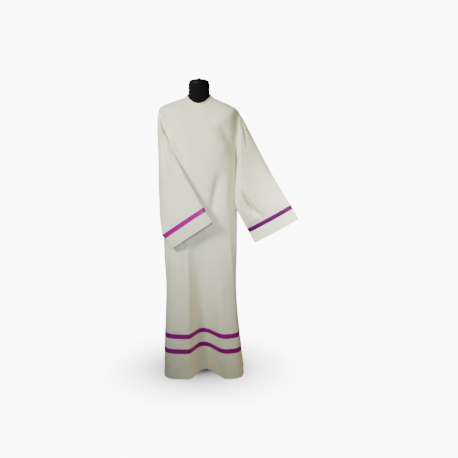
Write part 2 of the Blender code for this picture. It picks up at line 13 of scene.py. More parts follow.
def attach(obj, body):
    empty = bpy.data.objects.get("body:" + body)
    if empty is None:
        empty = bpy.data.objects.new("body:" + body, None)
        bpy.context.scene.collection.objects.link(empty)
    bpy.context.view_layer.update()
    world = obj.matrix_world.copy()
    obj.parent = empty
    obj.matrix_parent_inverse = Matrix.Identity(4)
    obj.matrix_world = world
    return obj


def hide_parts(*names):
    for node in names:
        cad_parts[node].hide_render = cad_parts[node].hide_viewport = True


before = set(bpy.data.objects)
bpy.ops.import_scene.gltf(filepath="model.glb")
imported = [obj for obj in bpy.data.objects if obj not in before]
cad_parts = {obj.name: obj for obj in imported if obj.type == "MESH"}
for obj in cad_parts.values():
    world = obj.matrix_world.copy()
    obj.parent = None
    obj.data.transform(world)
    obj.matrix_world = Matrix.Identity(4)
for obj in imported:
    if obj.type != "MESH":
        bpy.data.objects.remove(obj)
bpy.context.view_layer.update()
print("frame loaded:", len(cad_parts), "solids")

mm = 0.001
clothY = -0.020  # the shoulder line lies this far in front of the pole
fullTurn = 2.0 * math.pi


def smooth(share):
    share = np.clip(share, 0.0, 1.0)
    return share * share * (3.0 - 2.0 * share)


def bell(distance, width):
    return np.exp(-((distance / width) ** 2))


def mix(first, second, share):
    return first + (second - first) * share


def unit(vectors):
    return vectors / np.maximum(np.linalg.norm(vectors, axis=-1, keepdims=True), 1e-12)


def lengthsAlong(points):
    return np.concatenate([[0.0], np.cumsum(np.linalg.norm(np.diff(points, axis=0), axis=1))])


def atLengths(points, wanted):
    along = lengthsAlong(points)
    return np.stack([np.interp(wanted, along, points[:, k]) for k in range(3)], axis=1)


def curveThrough(a, b, c, d, t):  # from b to c on a smooth curve that passes a and d as well
    cubic = (3 * b - a - 3 * c + d) * t**3
    return 0.5 * (2 * b + (c - a) * t + (2 * a - 5 * b + 4 * c - d) * t**2 + cubic)


def gridNormals(points, closed):  # normals of a grid whose rows run down and whose columns run round
    if closed:
        across = np.roll(points, -1, axis=1) - np.roll(points, 1, axis=1)
    else:
        across = np.gradient(points, axis=1)
    return unit(np.cross(across, np.gradient(points, axis=0)))


def facingAs(normals, others):
    return np.where(np.sum(normals * others, axis=2, keepdims=True) < 0.0, -normals, normals)


def column(table, name):
    return np.array([row[table["columns"].index(name)] for row in table["rows"]])


def between(table, name, at):  # a column of a table, on a smooth curve through its rows
    keys = column(table, table["columns"][0])
    values = column(table, name)
    if keys[0] > keys[-1]:
        keys, values = keys[::-1], values[::-1]
    at = np.clip(at, keys[0], keys[-1])
    slopes = np.gradient(values, keys)
    index = np.clip(np.searchsorted(keys, at, side="right") - 1, 0, len(keys) - 2)
    step = np.diff(keys)[index]
    t = (at - keys[index]) / step
    return (
        (2 * t**3 - 3 * t**2 + 1) * values[index]
        + (t**3 - 2 * t**2 + t) * step * slopes[index]
        + (3 * t**2 - 2 * t**3) * values[index + 1]
        + (t**3 - t**2) * step * slopes[index + 1]
    )


bodyRings = {  # up runs up the side line and on along the shoulder to the neckline
    "columns": [
        "up", "right", "left", "front", "back",
        "zRight", "zLeft", "zFront", "zBack", "frontPower", "backPower",
    ],
    "rows": [
        (1.515, 0.0745, 0.0735, 0.085, 0.062, 1.436, 1.440, 1.374, 1.428, 2.0, 2.0),
        (1.472, 0.1120, 0.1150, 0.100, 0.079, 1.419, 1.426, 1.335, 1.398, 2.1, 2.1),
        (1.430, 0.1500, 0.1600, 0.111, 0.093, 1.403, 1.409, 1.298, 1.365, 2.2, 2.2),
        (1.392, 0.1845, 0.2000, 0.120, 0.104, 1.383, 1.389, 1.262, 1.330, 2.3, 2.2),
        (1.345, 0.1900, 0.1930, 0.126, 0.111, 1.345, 1.347, 1.222, 1.288, 2.4, 2.3),
        (1.250, 0.1890, 0.1840, 0.131, 0.118, 1.250, 1.250, 1.148, 1.200, 2.5, 2.3),
        (1.100, 0.1890, 0.1810, 0.132, 0.122, 1.100, 1.100, 1.035, 1.066, 2.5, 2.3),
        (0.950, 0.1905, 0.1830, 0.132, 0.124, 0.950, 0.950, 0.912, 0.930, 2.5, 2.3),
        (0.800, 0.1915, 0.1910, 0.133, 0.128, 0.800, 0.800, 0.790, 0.794, 2.6, 2.4),
        (0.650, 0.1915, 0.1915, 0.137, 0.134, 0.650, 0.650, 0.650, 0.650, 2.8, 2.4),
        (0.450, 0.1875, 0.1825, 0.150, 0.145, 0.450, 0.450, 0.450, 0.450, 3.4, 2.5),
        (0.320, 0.1955, 0.1840, 0.167, 0.155, 0.320, 0.320, 0.320, 0.320, 4.3, 2.6),
        (0.180, 0.2090, 0.1885, 0.186, 0.163, 0.180, 0.180, 0.180, 0.180, 5.4, 2.7),
        (0.016, 0.2280, 0.1905, 0.202, 0.168, 0.016, 0.016, 0.016, 0.016, 6.0, 2.8),
    ],
}

frontFold = {  # the deep fold of the skirt: across x it falls in, runs flat and comes out again
    "columns": ["z", "starts", "floor", "floorEnds", "ends", "depth"],
    "rows": [
        (0.820, -0.068, -0.052, -0.048, 0.030, 0.000),
        (0.740, -0.066, -0.040, -0.034, 0.065, 0.008),
        (0.600, -0.062, -0.016, -0.008, 0.100, 0.030),
        (0.450, -0.060, -0.008, 0.004, 0.112, 0.058),
        (0.240, -0.056, 0.000, 0.020, 0.125, 0.099),
        (0.160, -0.056, 0.002, 0.024, 0.132, 0.108),
        (0.016, -0.050, 0.007, 0.034, 0.138, 0.126),
    ],
    "hemLift": 0.007,
    "rounding": 0.018,
    "samples": 9,
}

backFolds = [  # x, half width, depth, top
    (-0.105, 0.048, 0.034, 0.86),
    (0.015, 0.060, 0.046, 0.98),
    (0.135, 0.046, 0.030, 0.78),
]

robe = {
    "wall": 1.1 * mm,
    "hemWall": 2.0 * mm,  # the hem is two layers of cloth
    "neckEnd": 1.515,
    "shoulder": 1.392,
    "underarm": 1.105,
    "armholeHalfWidth": 0.068,
    "armholeSteps": 48,
    "shoulderSteps": 24,
    "skirtSteps": 170,
    "hemRows": (8, 10, 2, 9),  # between the ribbons, below them, at each side of the fold, on the turn-up
    "frontColumns": 152,
    "backColumns": 128,
    "ringSteps": 720,
    "halfSeam": 0.16 * mm,
    "hem": 0.016,
    "hemFold": 0.049,
    "hemFoldEdge": 4.0 * mm,  # rows lie closer together this far above and below the fold's stitches
    "seamGroove": 0.7 * mm,
    "seamGrooveWidth": 3.0 * mm,
    "hemGroove": 0.9 * mm,
    "hemGrooveWidth": 2.2 * mm,
    "uneven": 1.1 * mm,
    "yoke": 0.08,  # the shoulders lie on the form down to here, with hardly a hollow
    "yokeHollows": 0.15,
    "offForm": 0.2 * mm,
}

ribbonTrim = {
    "width": 0.025,
    "lower": 0.130,  # lower edge, up from the hem
    "upper": 0.2055,
    "thick": 0.7 * mm,
    "edge": 0.35,  # the corded edges are this share thicker
    "edgeWidth": 0.08,  # share of the width
    "gap": 0.25 * mm,
    "stitchesIn": 1.4 * mm,  # from each edge
    "rows": 6,
}


def frontFoldDepth(x, z):  # averaged over a few millimetres across, as cloth never turns a sharp corner
    starts, floor = between(frontFold, "starts", z), between(frontFold, "floor", z)
    floorEnds, ends = between(frontFold, "floorEnds", z), between(frontFold, "ends", z)
    depth = np.maximum(between(frontFold, "depth", z), 0.0)
    besides = np.linspace(-frontFold["rounding"], frontFold["rounding"], frontFold["samples"])
    total = 0.0
    for beside in besides:
        goesIn = smooth((x + beside - starts) / (floor - starts))
        comesOut = smooth((ends - x - beside) / (ends - floorEnds))
        total = total + np.minimum(goesIn, comesOut) / len(besides)
    return depth * total


def backFoldDepth(x, z):
    total = np.zeros_like(x)
    for middle, halfWidth, depth, top in backFolds:
        across = np.clip(np.abs(x - middle) / halfWidth, 0.0, 1.0)
        total += depth * smooth((top - z) / top) * np.cos(0.5 * math.pi * across) ** 2
    return total


def ringValue(test, first, second, up):  # one column of the body's rings where the test holds, else another
    return np.where(test, between(bodyRings, first, up), between(bodyRings, second, up))


def ovalReach(turn, width, depth, power):  # from an oval's middle to its edge; a high power squares it
    return (np.abs(np.cos(turn) / width) ** power + np.abs(np.sin(turn) / depth) ** power) ** (-1.0 / power)


def halfRing(up, side):  # from the right side to the left one, through the front (-1) or the back (+1)
    turn = np.linspace(0.0, math.pi, robe["ringSteps"] + 1)
    name = "front" if side < 0 else "back"
    onRight = turn < 0.5 * math.pi
    width = ringValue(onRight, "right", "left", up)
    reach = ovalReach(turn, width, between(bodyRings, name, up), between(bodyRings, name + "Power", up))
    x, y = reach * np.cos(turn), side * reach * np.sin(turn)
    zSide = ringValue(onRight, "zRight", "zLeft", up)
    z = mix(zSide, between(bodyRings, "z" + name.capitalize(), up), np.sin(turn) ** 2)
    if side < 0:
        inward = frontFoldDepth(x, z)
        y = y + inward
        z = z + frontFold["hemLift"] * inward / frontFold["rows"][-1][-1]
    else:
        y = y - backFoldDepth(x, z)
    return np.stack([x, y + clothY, z], axis=1)


# which coordinate runs across, which runs away from the eye, and its sign
sides = {"front": (0, 1, -1.0), "back": (0, 1, 1.0), "right": (1, 0, 1.0), "left": (1, 0, -1.0)}

creasing = {
    "spacing": 6.0 * mm,  # between the points at which a crease's line is worked out
    "fewest": 12,
    "reach": 3.5,  # half widths
    "facing": 0.05,  # a crease fades out where the cloth turns away from its side
    "facingOver": 0.30,
    "peakRounding": 0.1414,  # half widths over which a sharp crease's ridge is rounded
    "peakFall": 1.3,  # how fast it falls away, per half width
    "pullOver": 0.03,  # a pull grows over this far in front of its "before"
}


def creasesOn(side, lines, sharp=0.0):  # each point is across, up, height off the cloth, half width, in mm
    return [{"from": side, "sharp": sharp, "line": line} for line in lines]


def creaseLine(crease):  # a smooth dense line through a crease's points
    points = np.array(crease["line"], float)
    points[:, :2] *= mm
    along = lengthsAlong(points[:, :2])
    dense = np.linspace(0.0, along[-1], max(creasing["fewest"], int(along[-1] / creasing["spacing"])))
    names = ["along", "across", "up", "height", "width"]
    table = {"columns": names, "rows": np.column_stack([along, points])}
    return np.stack([between(table, name, dense) for name in names[1:]], axis=1)


def creased(points, normals, creases):  # how far each point moves along its normal
    flat = points.reshape(-1, 3)
    facing = normals.reshape(-1, 3)
    moved = np.zeros(len(flat))
    for crease in creases:
        across, away, sign = sides[crease["from"]]
        line = creaseLine(crease)
        reach = creasing["reach"] * line[:, 3].max() * mm
        mask = smooth((facing[:, away] * sign - creasing["facing"]) / creasing["facingOver"])
        lows, highs = line[:, :2].min(axis=0) - reach, line[:, :2].max(axis=0) + reach
        near = mask > 0.0
        near &= (flat[:, across] > lows[0]) & (flat[:, across] < highs[0])
        near &= (flat[:, 2] > lows[1]) & (flat[:, 2] < highs[1])
        if not near.any():
            continue
        here = flat[near][:, (across, 2)]
        gaps = np.linalg.norm(here[:, None, :] - line[None, :, :2], axis=2)
        nearest = gaps.argmin(axis=1)
        gap = gaps[np.arange(len(here)), nearest] / (line[nearest, 3] * mm)
        pointed = np.hypot(gap, creasing["peakRounding"]) - creasing["peakRounding"]
        shape = mix(bell(gap, 1.0), np.exp(-pointed * creasing["peakFall"]), crease["sharp"])
        moved[near] += mask[near] * line[nearest, 2] * mm * shape
    return moved.reshape(points.shape[:2])


def shifted(points, pulls):  # moves what lies near each line, seen from the front, in one direction
    away = np.zeros(points.shape)
    away[..., 1] = -1.0
    for pull in pulls:
        amount = creased(points, away, creasesOn("front", [pull["line"]]))
        amount *= smooth((pull.get("before", 1.0) - points[..., 1]) / creasing["pullOver"])
        points = points + amount[..., None] * np.array(pull["towards"], float)
    return points


def finer(grid, times):  # more columns on a closed grid, on smooth curves through its own
    around = [np.roll(grid, step, axis=1) for step in (1, 0, -1, -2)]
    columns = [curveThrough(*around, k / times) for k in range(times)]
    return np.stack(columns, axis=2).reshape(grid.shape[0], -1, grid.shape[2])


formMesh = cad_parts["form_torso"].data
formFaces = [tuple(face.vertices) for face in formMesh.polygons]
formSkin = BVHTree.FromPolygons([vertex.co for vertex in formMesh.vertices], formFaces)
formReach = 0.04  # cloth further than this from the form can't touch it


def clearOfForm(points, distance):  # a crease never sinks into the form under the cloth
    flat = points.reshape(-1, 3).copy()
    for k, point in enumerate(flat):
        spot, normal, _, _ = formSkin.find_nearest(Vector(point), formReach)
        if spot is None:
            continue
        height = (Vector(point) - spot).dot(normal)
        if height < distance:
            flat[k] += np.array(normal) * (distance - height)
    return flat.reshape(points.shape)


waves = {  # perMetre is in radians; they are slower up the cloth than across it
    "count": 7,
    "perMetre": 55.0,
    "shift": 9.0,
    "flatter": (1.0, 0.8, 0.45),
}


def unevenness(points, size, seed):  # the slow waves that any hanging cloth has
    turns = np.random.default_rng(seed).uniform(-1.0, 1.0, (waves["count"], 4))
    moved = np.zeros(points.shape[:2])
    for turn in turns:
        wave = turn[:3] * waves["flatter"] * waves["perMetre"]
        moved += np.sin(points @ wave + waves["shift"] * turn[3])
    return moved * size / waves["count"]


def lip(first, second, beyond):  # the rounded middle of an open edge
    across = np.linalg.norm(first - second, axis=1, keepdims=True)
    return 0.5 * (first + second) + unit(first - beyond) * 0.5 * across


def makeShell(name, outer, normals, wall, closed, material, uv):
    # a cloth wall: outer grid, inner grid and a rounded lip at each open edge
    thickness = np.broadcast_to(np.asarray(wall, float), outer.shape[:2])[..., None]
    inner = outer - normals * thickness
    rows, columns = outer.shape[:2]
    topLip = lip(outer[0], inner[0], outer[1])
    endLip = lip(outer[-1], inner[-1], outer[-2])
    loops = np.concatenate([outer, endLip[None], inner[::-1], topLip[None]])  # a closed band of rows
    count = len(loops)
    points = [loops.reshape(-1, 3)]
    uvs = [np.concatenate([uv, uv[-1:], uv[::-1], uv[:1]]).reshape(-1, 2)]
    number = np.arange(count * columns).reshape(count, columns)
    across = np.arange(columns if closed else columns - 1)
    after = (across + 1) % columns
    quads = []
    for r in range(count):
        s = (r + 1) % count
        corners = [number[r][across], number[s][across], number[s][after], number[r][after]]
        quads.append(np.stack(corners, axis=1))
    if not closed:
        extra = count * columns
        for edge, beside, turned in ((0, 1, False), (columns - 1, columns - 2, True)):
            points.append(lip(outer[:, edge], inner[:, edge], outer[:, beside]))
            uvs.append(uv[:, edge])
            ids = np.arange(extra, extra + rows)
            extra += rows
            outerIds = number[:rows, edge]
            innerIds = number[rows + 1 : 2 * rows + 1, edge][::-1]
            for one, two in ((outerIds, ids), (ids, innerIds)):
                strip = np.stack([one[:-1], two[:-1], two[1:], one[1:]], axis=1)
                quads.append(strip[:, ::-1] if not turned else strip)
            for corner, end in ((number[-1, edge], 0), (number[rows, edge], -1)):
                quads.append(np.array([[outerIds[end], ids[end], innerIds[end], corner]]))
    mesh = bpy.data.meshes.new(name)
    mesh.from_pydata(np.concatenate(points).tolist(), [], np.concatenate(quads).astype(int).tolist())
    layer = mesh.uv_layers.new(name="cloth")
    loopVertex = np.empty(len(mesh.loops), int)
    mesh.loops.foreach_get("vertex_index", loopVertex)
    layer.data.foreach_set("uv", np.concatenate(uvs)[loopVertex].astype(np.float32).ravel())
    mesh.materials.append(material)
    return finishMesh(name, mesh)


def inScene(obj):
    bpy.context.scene.collection.objects.link(obj)
    return obj


def finishMesh(name, mesh):  # faces outwards, smooth, in the scene
    shape = bmesh.new()
    shape.from_mesh(mesh)
    bmesh.ops.recalc_face_normals(shape, faces=shape.faces)
    if shape.calc_volume(signed=True) < 0.0:
        bmesh.ops.reverse_faces(shape, faces=shape.faces)
    shape.to_mesh(mesh)
    shape.free()
    mesh.shade_smooth()
    print("made", name, len(mesh.polygons), "faces")
    return inScene(bpy.data.objects.new(name, mesh))


def linear(hexColour):  # an sRGB hex value as a linear colour
    parts = [int(hexColour[i : i + 2], 16) / 255.0 for i in (1, 3, 5)]
    return tuple(p / 12.92 if p <= 0.04045 else ((p + 0.055) / 1.055) ** 2.4 for p in parts) + (1.0,)


def addNode(owner, kind, inputs=None, stops=(), **settings):
    # one node with its settings, and its inputs by name or number: a socket or a node's first output
    # is linked, a value is set; stops are the places and colours of a colour ramp
    tree = getattr(owner, "node_tree", owner)
    family = "" if kind.startswith(("Geometry", "Function", "NodeGroup")) else "ShaderNode"
    node = tree.nodes.new(family + kind)
    for key, value in settings.items():
        setattr(node, key, value)
    for key, value in (inputs or {}).items():
        source = value.outputs[0] if isinstance(value, bpy.types.Node) else value
        if isinstance(source, bpy.types.NodeSocket):
            tree.links.new(source, node.inputs[key])
        else:
            node.inputs[key].default_value = source
    for k, (position, colour) in enumerate(stops):
        node.color_ramp.elements[k].position = position
        node.color_ramp.elements[k].color = colour
    return node


def newMaterial(name):
    material = bpy.data.materials.new(name)
    material.use_nodes = True
    material.node_tree.nodes.clear()
    return material


def finishMaterial(material, inputs):
    addNode(material, "OutputMaterial", {"Surface": addNode(material, "BsdfPrincipled", inputs)})
    return material


# Polyester and wool in plain weave, piece-dyed ivory and pressed: dull, dense, with a faint bloom
# of loose fibre that lightens the edges of folds. Its real threads are 0.45 mm apart; they are
# drawn three times as coarse, so that they show.
woolCloth = {
    "thread": 1.35 * mm,
    "light": (0.95, linear("#E4E1BC")),  # its place on the colour ramp, and the colour
    "dark": (0.35, linear("#DAD6AA")),
    "slub": 420.0,  # per metre, as the next
    "blotch": 26.0,
    "weaveShare": 0.10,
    "slubShare": 0.30,
    "weaveDepth": 0.12 * mm,
    "softDepth": 0.35 * mm,
    "shader": {"Roughness": 0.82, "Sheen Weight": 0.12, "Sheen Roughness": 0.45, "Specular IOR Level": 0.25},
}


def makeWoolCloth():
    m = newMaterial("ivory polyester and wool plain weave")
    uv = addNode(m, "UVMap", uv_map="cloth")
    turns = addNode(m, "VectorMath", {0: uv, "Scale": math.pi / woolCloth["thread"]}, operation="SCALE")
    split = addNode(m, "SeparateXYZ", {0: turns})
    warp = addNode(m, "Math", {0: split.outputs[0]}, operation="SINE")
    weft = addNode(m, "Math", {0: split.outputs[1]}, operation="SINE")
    over = addNode(m, "Math", {0: warp, 1: weft}, operation="MULTIPLY")
    slub = addNode(m, "TexNoise", {"Vector": uv, "Scale": woolCloth["slub"], "Detail": 2.0})
    cloudy = {"Vector": addNode(m, "TexCoord").outputs["Object"], "Scale": woolCloth["blotch"]}
    blotch = addNode(m, "TexNoise", {**cloudy, "Detail": 3.0, "Roughness": 0.6})
    tone = addNode(m, "Math", {0: over, 1: woolCloth["weaveShare"], 2: blotch}, operation="MULTIPLY_ADD")
    tone = addNode(m, "Math", {0: slub, 1: woolCloth["slubShare"], 2: tone}, operation="MULTIPLY_ADD")
    ramp = addNode(m, "ValToRGB", {0: tone}, (woolCloth["dark"], woolCloth["light"]))
    soft = addNode(m, "Bump", {"Height": blotch, "Distance": woolCloth["softDepth"], "Strength": 0.5})
    weave = {"Height": over, "Distance": woolCloth["weaveDepth"], "Strength": 0.6, "Normal": soft}
    return finishMaterial(m, {"Base Color": ramp, "Normal": addNode(m, "Bump", weave), **woolCloth["shader"]})


# Polyester satin ribbon, woven with long floats and calendered: a smooth sheen along its length,
# fine ribs across it and a firm cord at each edge.
satinRibbon = {
    "rib": 1.1 * mm,  # the real floats lie 0.3 mm apart
    "ribDepth": 0.05 * mm,
    "streaks": (60.0, 900.0, 1.0),  # per metre along and across
    "cord": 1.6 * mm,
    "cordColour": linear("#DC8CD2"),
    "shader": {"Roughness": 0.42, "Specular IOR Level": 0.12},
}


def makeSatinRibbon(name, colour, shade):
    m = newMaterial(name)
    uv = addNode(m, "UVMap", uv_map="cloth")
    split = addNode(m, "SeparateXYZ", {0: uv})
    turns = addNode(m, "Math", {0: split, 1: fullTurn / satinRibbon["rib"]}, operation="MULTIPLY")
    ribs = addNode(m, "Math", {0: turns}, operation="SINE")
    stretched = addNode(m, "VectorMath", {0: uv, 1: satinRibbon["streaks"]}, operation="MULTIPLY")
    streaks = addNode(m, "TexNoise", {"Vector": stretched, "Scale": 1.0, "Detail": 2.0})
    ramp = addNode(m, "ValToRGB", {0: streaks}, ((0.3, linear(shade)), (0.7, linear(colour))))
    half = 0.5 * ribbonTrim["width"]
    across = addNode(m, "Math", {0: split.outputs[1], 1: half}, operation="SUBTRACT")
    fromMiddle = addNode(m, "Math", {0: across}, operation="ABSOLUTE")
    atCord = addNode(m, "Math", {0: fromMiddle, 1: half - satinRibbon["cord"]}, operation="GREATER_THAN")
    edged = addNode(m, "Mix", {0: atCord, 6: ramp, 7: satinRibbon["cordColour"]}, data_type="RGBA")
    bump = addNode(m, "Bump", {"Height": ribs, "Distance": satinRibbon["ribDepth"], "Strength": 0.5})
    return finishMaterial(m, {"Base Color": edged.outputs[2], "Normal": bump, **satinRibbon["shader"]})


# Cotton and polyester jersey knit, dyed black and drawn tight over foam: dull, with rows of tiny
# loops. Its real loops are 1 mm apart; they are drawn twice as coarse, so that they show.
blackJersey = {
    "loop": 2.0 * mm,
    "colour": linear("#080807"),
    "rib": linear("#0E0D0B"),
    "cloud": 18.0,  # per metre
    "loopDepth": 0.3 * mm,
    "shader": {"Roughness": 0.92, "Sheen Weight": 0.02, "Specular IOR Level": 0.08},
}


def makeBlackJersey():
    m = newMaterial("black cotton jersey knit")
    place = addNode(m, "TexCoord").outputs["Object"]
    scaled = addNode(m, "VectorMath", {0: place, "Scale": 1.0 / blackJersey["loop"]}, operation="SCALE")
    loops = addNode(m, "TexVoronoi", {"Vector": scaled, "Scale": 1.0, "Randomness": 0.35}, feature="F1")
    cloudy = addNode(m, "TexNoise", {"Vector": place, "Scale": blackJersey["cloud"], "Detail": 3.0})
    ramp = addNode(m, "ValToRGB", {0: cloudy}, ((0.0, blackJersey["colour"]), (1.0, blackJersey["rib"])))
    bump = addNode(m, "Bump", {"Height": loops, "Distance": blackJersey["loopDepth"], "Strength": 0.6})
    return finishMaterial(m, {"Base Color": ramp, "Normal": bump, **blackJersey["shader"]})


# Beech turned and sprayed with black lacquer: a soft, slightly uneven gloss and a trace of the
# grain under it.
blackLacquer = {
    "grain": 1.6 * mm,
    "alongGrain": 60.0,  # per metre
    "grainDepth": 0.08 * mm,
    "colour": linear("#060605"),
    "worn": linear("#0D0C0B"),
    "smoothest": 0.56,
    "roughest": 0.70,
}


def makeBlackLacquer():
    m = newMaterial("black lacquered beech")
    stretch = (1.0 / blackLacquer["grain"], 1.0 / blackLacquer["grain"], blackLacquer["alongGrain"])
    place = addNode(m, "TexCoord").outputs["Object"]
    along = addNode(m, "VectorMath", {0: place, 1: stretch}, operation="MULTIPLY")
    grain = addNode(m, "TexNoise", {"Vector": along, "Scale": 1.0, "Detail": 2.0})
    ramp = addNode(m, "ValToRGB", {0: grain}, ((0.0, blackLacquer["colour"]), (1.0, blackLacquer["worn"])))
    gloss = addNode(m, "MapRange", {0: grain, 3: blackLacquer["smoothest"], 4: blackLacquer["roughest"]})
    bump = addNode(m, "Bump", {"Height": grain, "Distance": blackLacquer["grainDepth"], "Strength": 0.4})
    looks = {"Base Color": ramp, "Roughness": gloss, "Specular IOR Level": 0.1, "Normal": bump}
    return finishMaterial(m, looks)


# Mild steel with a baked black powder coat: the orange-peel skin breaks its highlights up.
coatedSteel = {
    "peel": 1.8 * mm,
    "peelDepth": 0.1 * mm,
    "scuffs": 14.0,  # per metre
    "colour": (0.5, linear("#0F0F10")),
    "scuffed": (0.8, linear("#1C1C1C")),
    "roughness": 0.5,
}


def makeCoatedSteel():
    m = newMaterial("black powder-coated steel")
    place = addNode(m, "TexCoord").outputs["Object"]
    peel = addNode(m, "TexNoise", {"Vector": place, "Scale": 1.0 / coatedSteel["peel"], "Detail": 1.0})
    worn = {"Vector": place, "Scale": coatedSteel["scuffs"], "Detail": 5.0, "Roughness": 0.7}
    scuff = addNode(m, "TexNoise", worn)
    ramp = addNode(m, "ValToRGB", {0: scuff}, (coatedSteel["colour"], coatedSteel["scuffed"]))
    bump = addNode(m, "Bump", {"Height": peel, "Distance": coatedSteel["peelDepth"], "Strength": 0.5})
    return finishMaterial(m, {"Base Color": ramp, "Roughness": coatedSteel["roughness"], "Normal": bump})


# Spun polyester sewing thread: two plies, slightly brighter than the cloth it lies on.
sewingThread = {
    "twist": 900.0,  # per metre
    "twistDepth": 0.08 * mm,
    "shade": 0.8,
    "shader": {"Roughness": 0.55, "Sheen Weight": 0.2},
}


def makeThread(name, hexColour):
    m = newMaterial(name)
    place = addNode(m, "TexCoord").outputs["Object"]
    twist = addNode(m, "TexNoise", {"Vector": place, "Scale": sewingThread["twist"], "Detail": 1.0})
    bump = addNode(m, "Bump", {"Height": twist, "Distance": sewingThread["twistDepth"], "Strength": 0.5})
    colour = linear(hexColour)
    shaded = tuple(sewingThread["shade"] * part for part in colour[:3]) + (1.0,)
    ramp = addNode(m, "ValToRGB", {0: twist}, ((0.0, shaded), (1.0, colour)))
    return finishMaterial(m, {"Base Color": ramp, "Normal": bump, **sewingThread["shader"]})


materials = {
    "cloth": makeWoolCloth(),
    # the ribbon of the sleeve that is held out is painted darker, as shade, and the other ribbons lighter, as
    # light: one satin drawn as a shaded and a lit copy
    "ribbon": makeSatinRibbon("magenta polyester satin ribbon", "#4C0040", "#3A0030"),
    "painted-lit ribbon": makeSatinRibbon("magenta polyester satin ribbon painted lighter as if lit", "#9A0A76", "#7A065C"),
    "jersey": makeBlackJersey(),
    "lacquer": makeBlackLacquer(),
    "steel": makeCoatedSteel(),
    "ivory thread": makeThread("ivory polyester thread", "#E6DFBC"),
    "magenta thread": makeThread("magenta polyester thread", "#9A3F8E"),
}
print("finishes mixed:", len(materials))


def armholeHeights():  # the middle and half the height of an armhole
    return 0.5 * (robe["shoulder"] + robe["underarm"]), 0.5 * (robe["shoulder"] - robe["underarm"])


def panelHeights():
    top = np.linspace(robe["neckEnd"], robe["shoulder"], robe["shoulderSteps"] + 1)
    middle, half = armholeHeights()
    turn = np.pi * np.arange(1, robe["armholeSteps"]) / robe["armholeSteps"]
    hem, fold, edge = robe["hem"], robe["hem"] + robe["hemFold"], robe["hemFoldEdge"]
    upper, lower, width = hem + ribbonTrim["upper"], hem + ribbonTrim["lower"], ribbonTrim["width"]
    ribbonRows = ribbonTrim["rows"]
    betweenRows, belowRows, foldRows, turnUpRows = robe["hemRows"]
    stops = [robe["underarm"], upper + width, upper, lower + width, lower, fold + edge, fold, fold - edge]
    counts = [robe["skirtSteps"], ribbonRows, betweenRows, ribbonRows, belowRows]
    counts += [foldRows, foldRows, turnUpRows]
    skirt = [np.linspace(a, b, n + 1)[1:] for a, b, n in zip(stops, stops[1:] + [hem], counts)]
    return np.concatenate([top, middle + half * np.cos(turn), [robe["underarm"]], *skirt])


heights = panelHeights()


def rowAt(up):
    return int(np.argmin(np.abs(heights - up)))


def armholeWidth(up):
    middle, half = armholeHeights()
    return robe["armholeHalfWidth"] * math.sqrt(max(1.0 - ((up - middle) / half) ** 2, 0.0))


def plainPanel(side, columns):  # the smooth surface of one panel and its cloth coordinates
    rows, uvs = [], []
    for up in heights:
        ring = halfRing(up, side)
        total = lengthsAlong(ring)[-1]
        edge = max(armholeWidth(up), robe["halfSeam"])
        wanted = np.linspace(edge, total - edge, columns + 1)
        rows.append(atLengths(ring, wanted))
        uvs.append(np.stack([wanted - 0.5 * total, np.full(columns + 1, up)], axis=1))
    points, uv = np.array(rows), np.array(uvs)
    if side > 0:
        points, uv = points[:, ::-1], uv[:, ::-1]
    normals = gridNormals(points, False)
    if np.mean(normals[:, :, 1]) * side < 0.0:
        normals = -normals
    return points, normals, uv


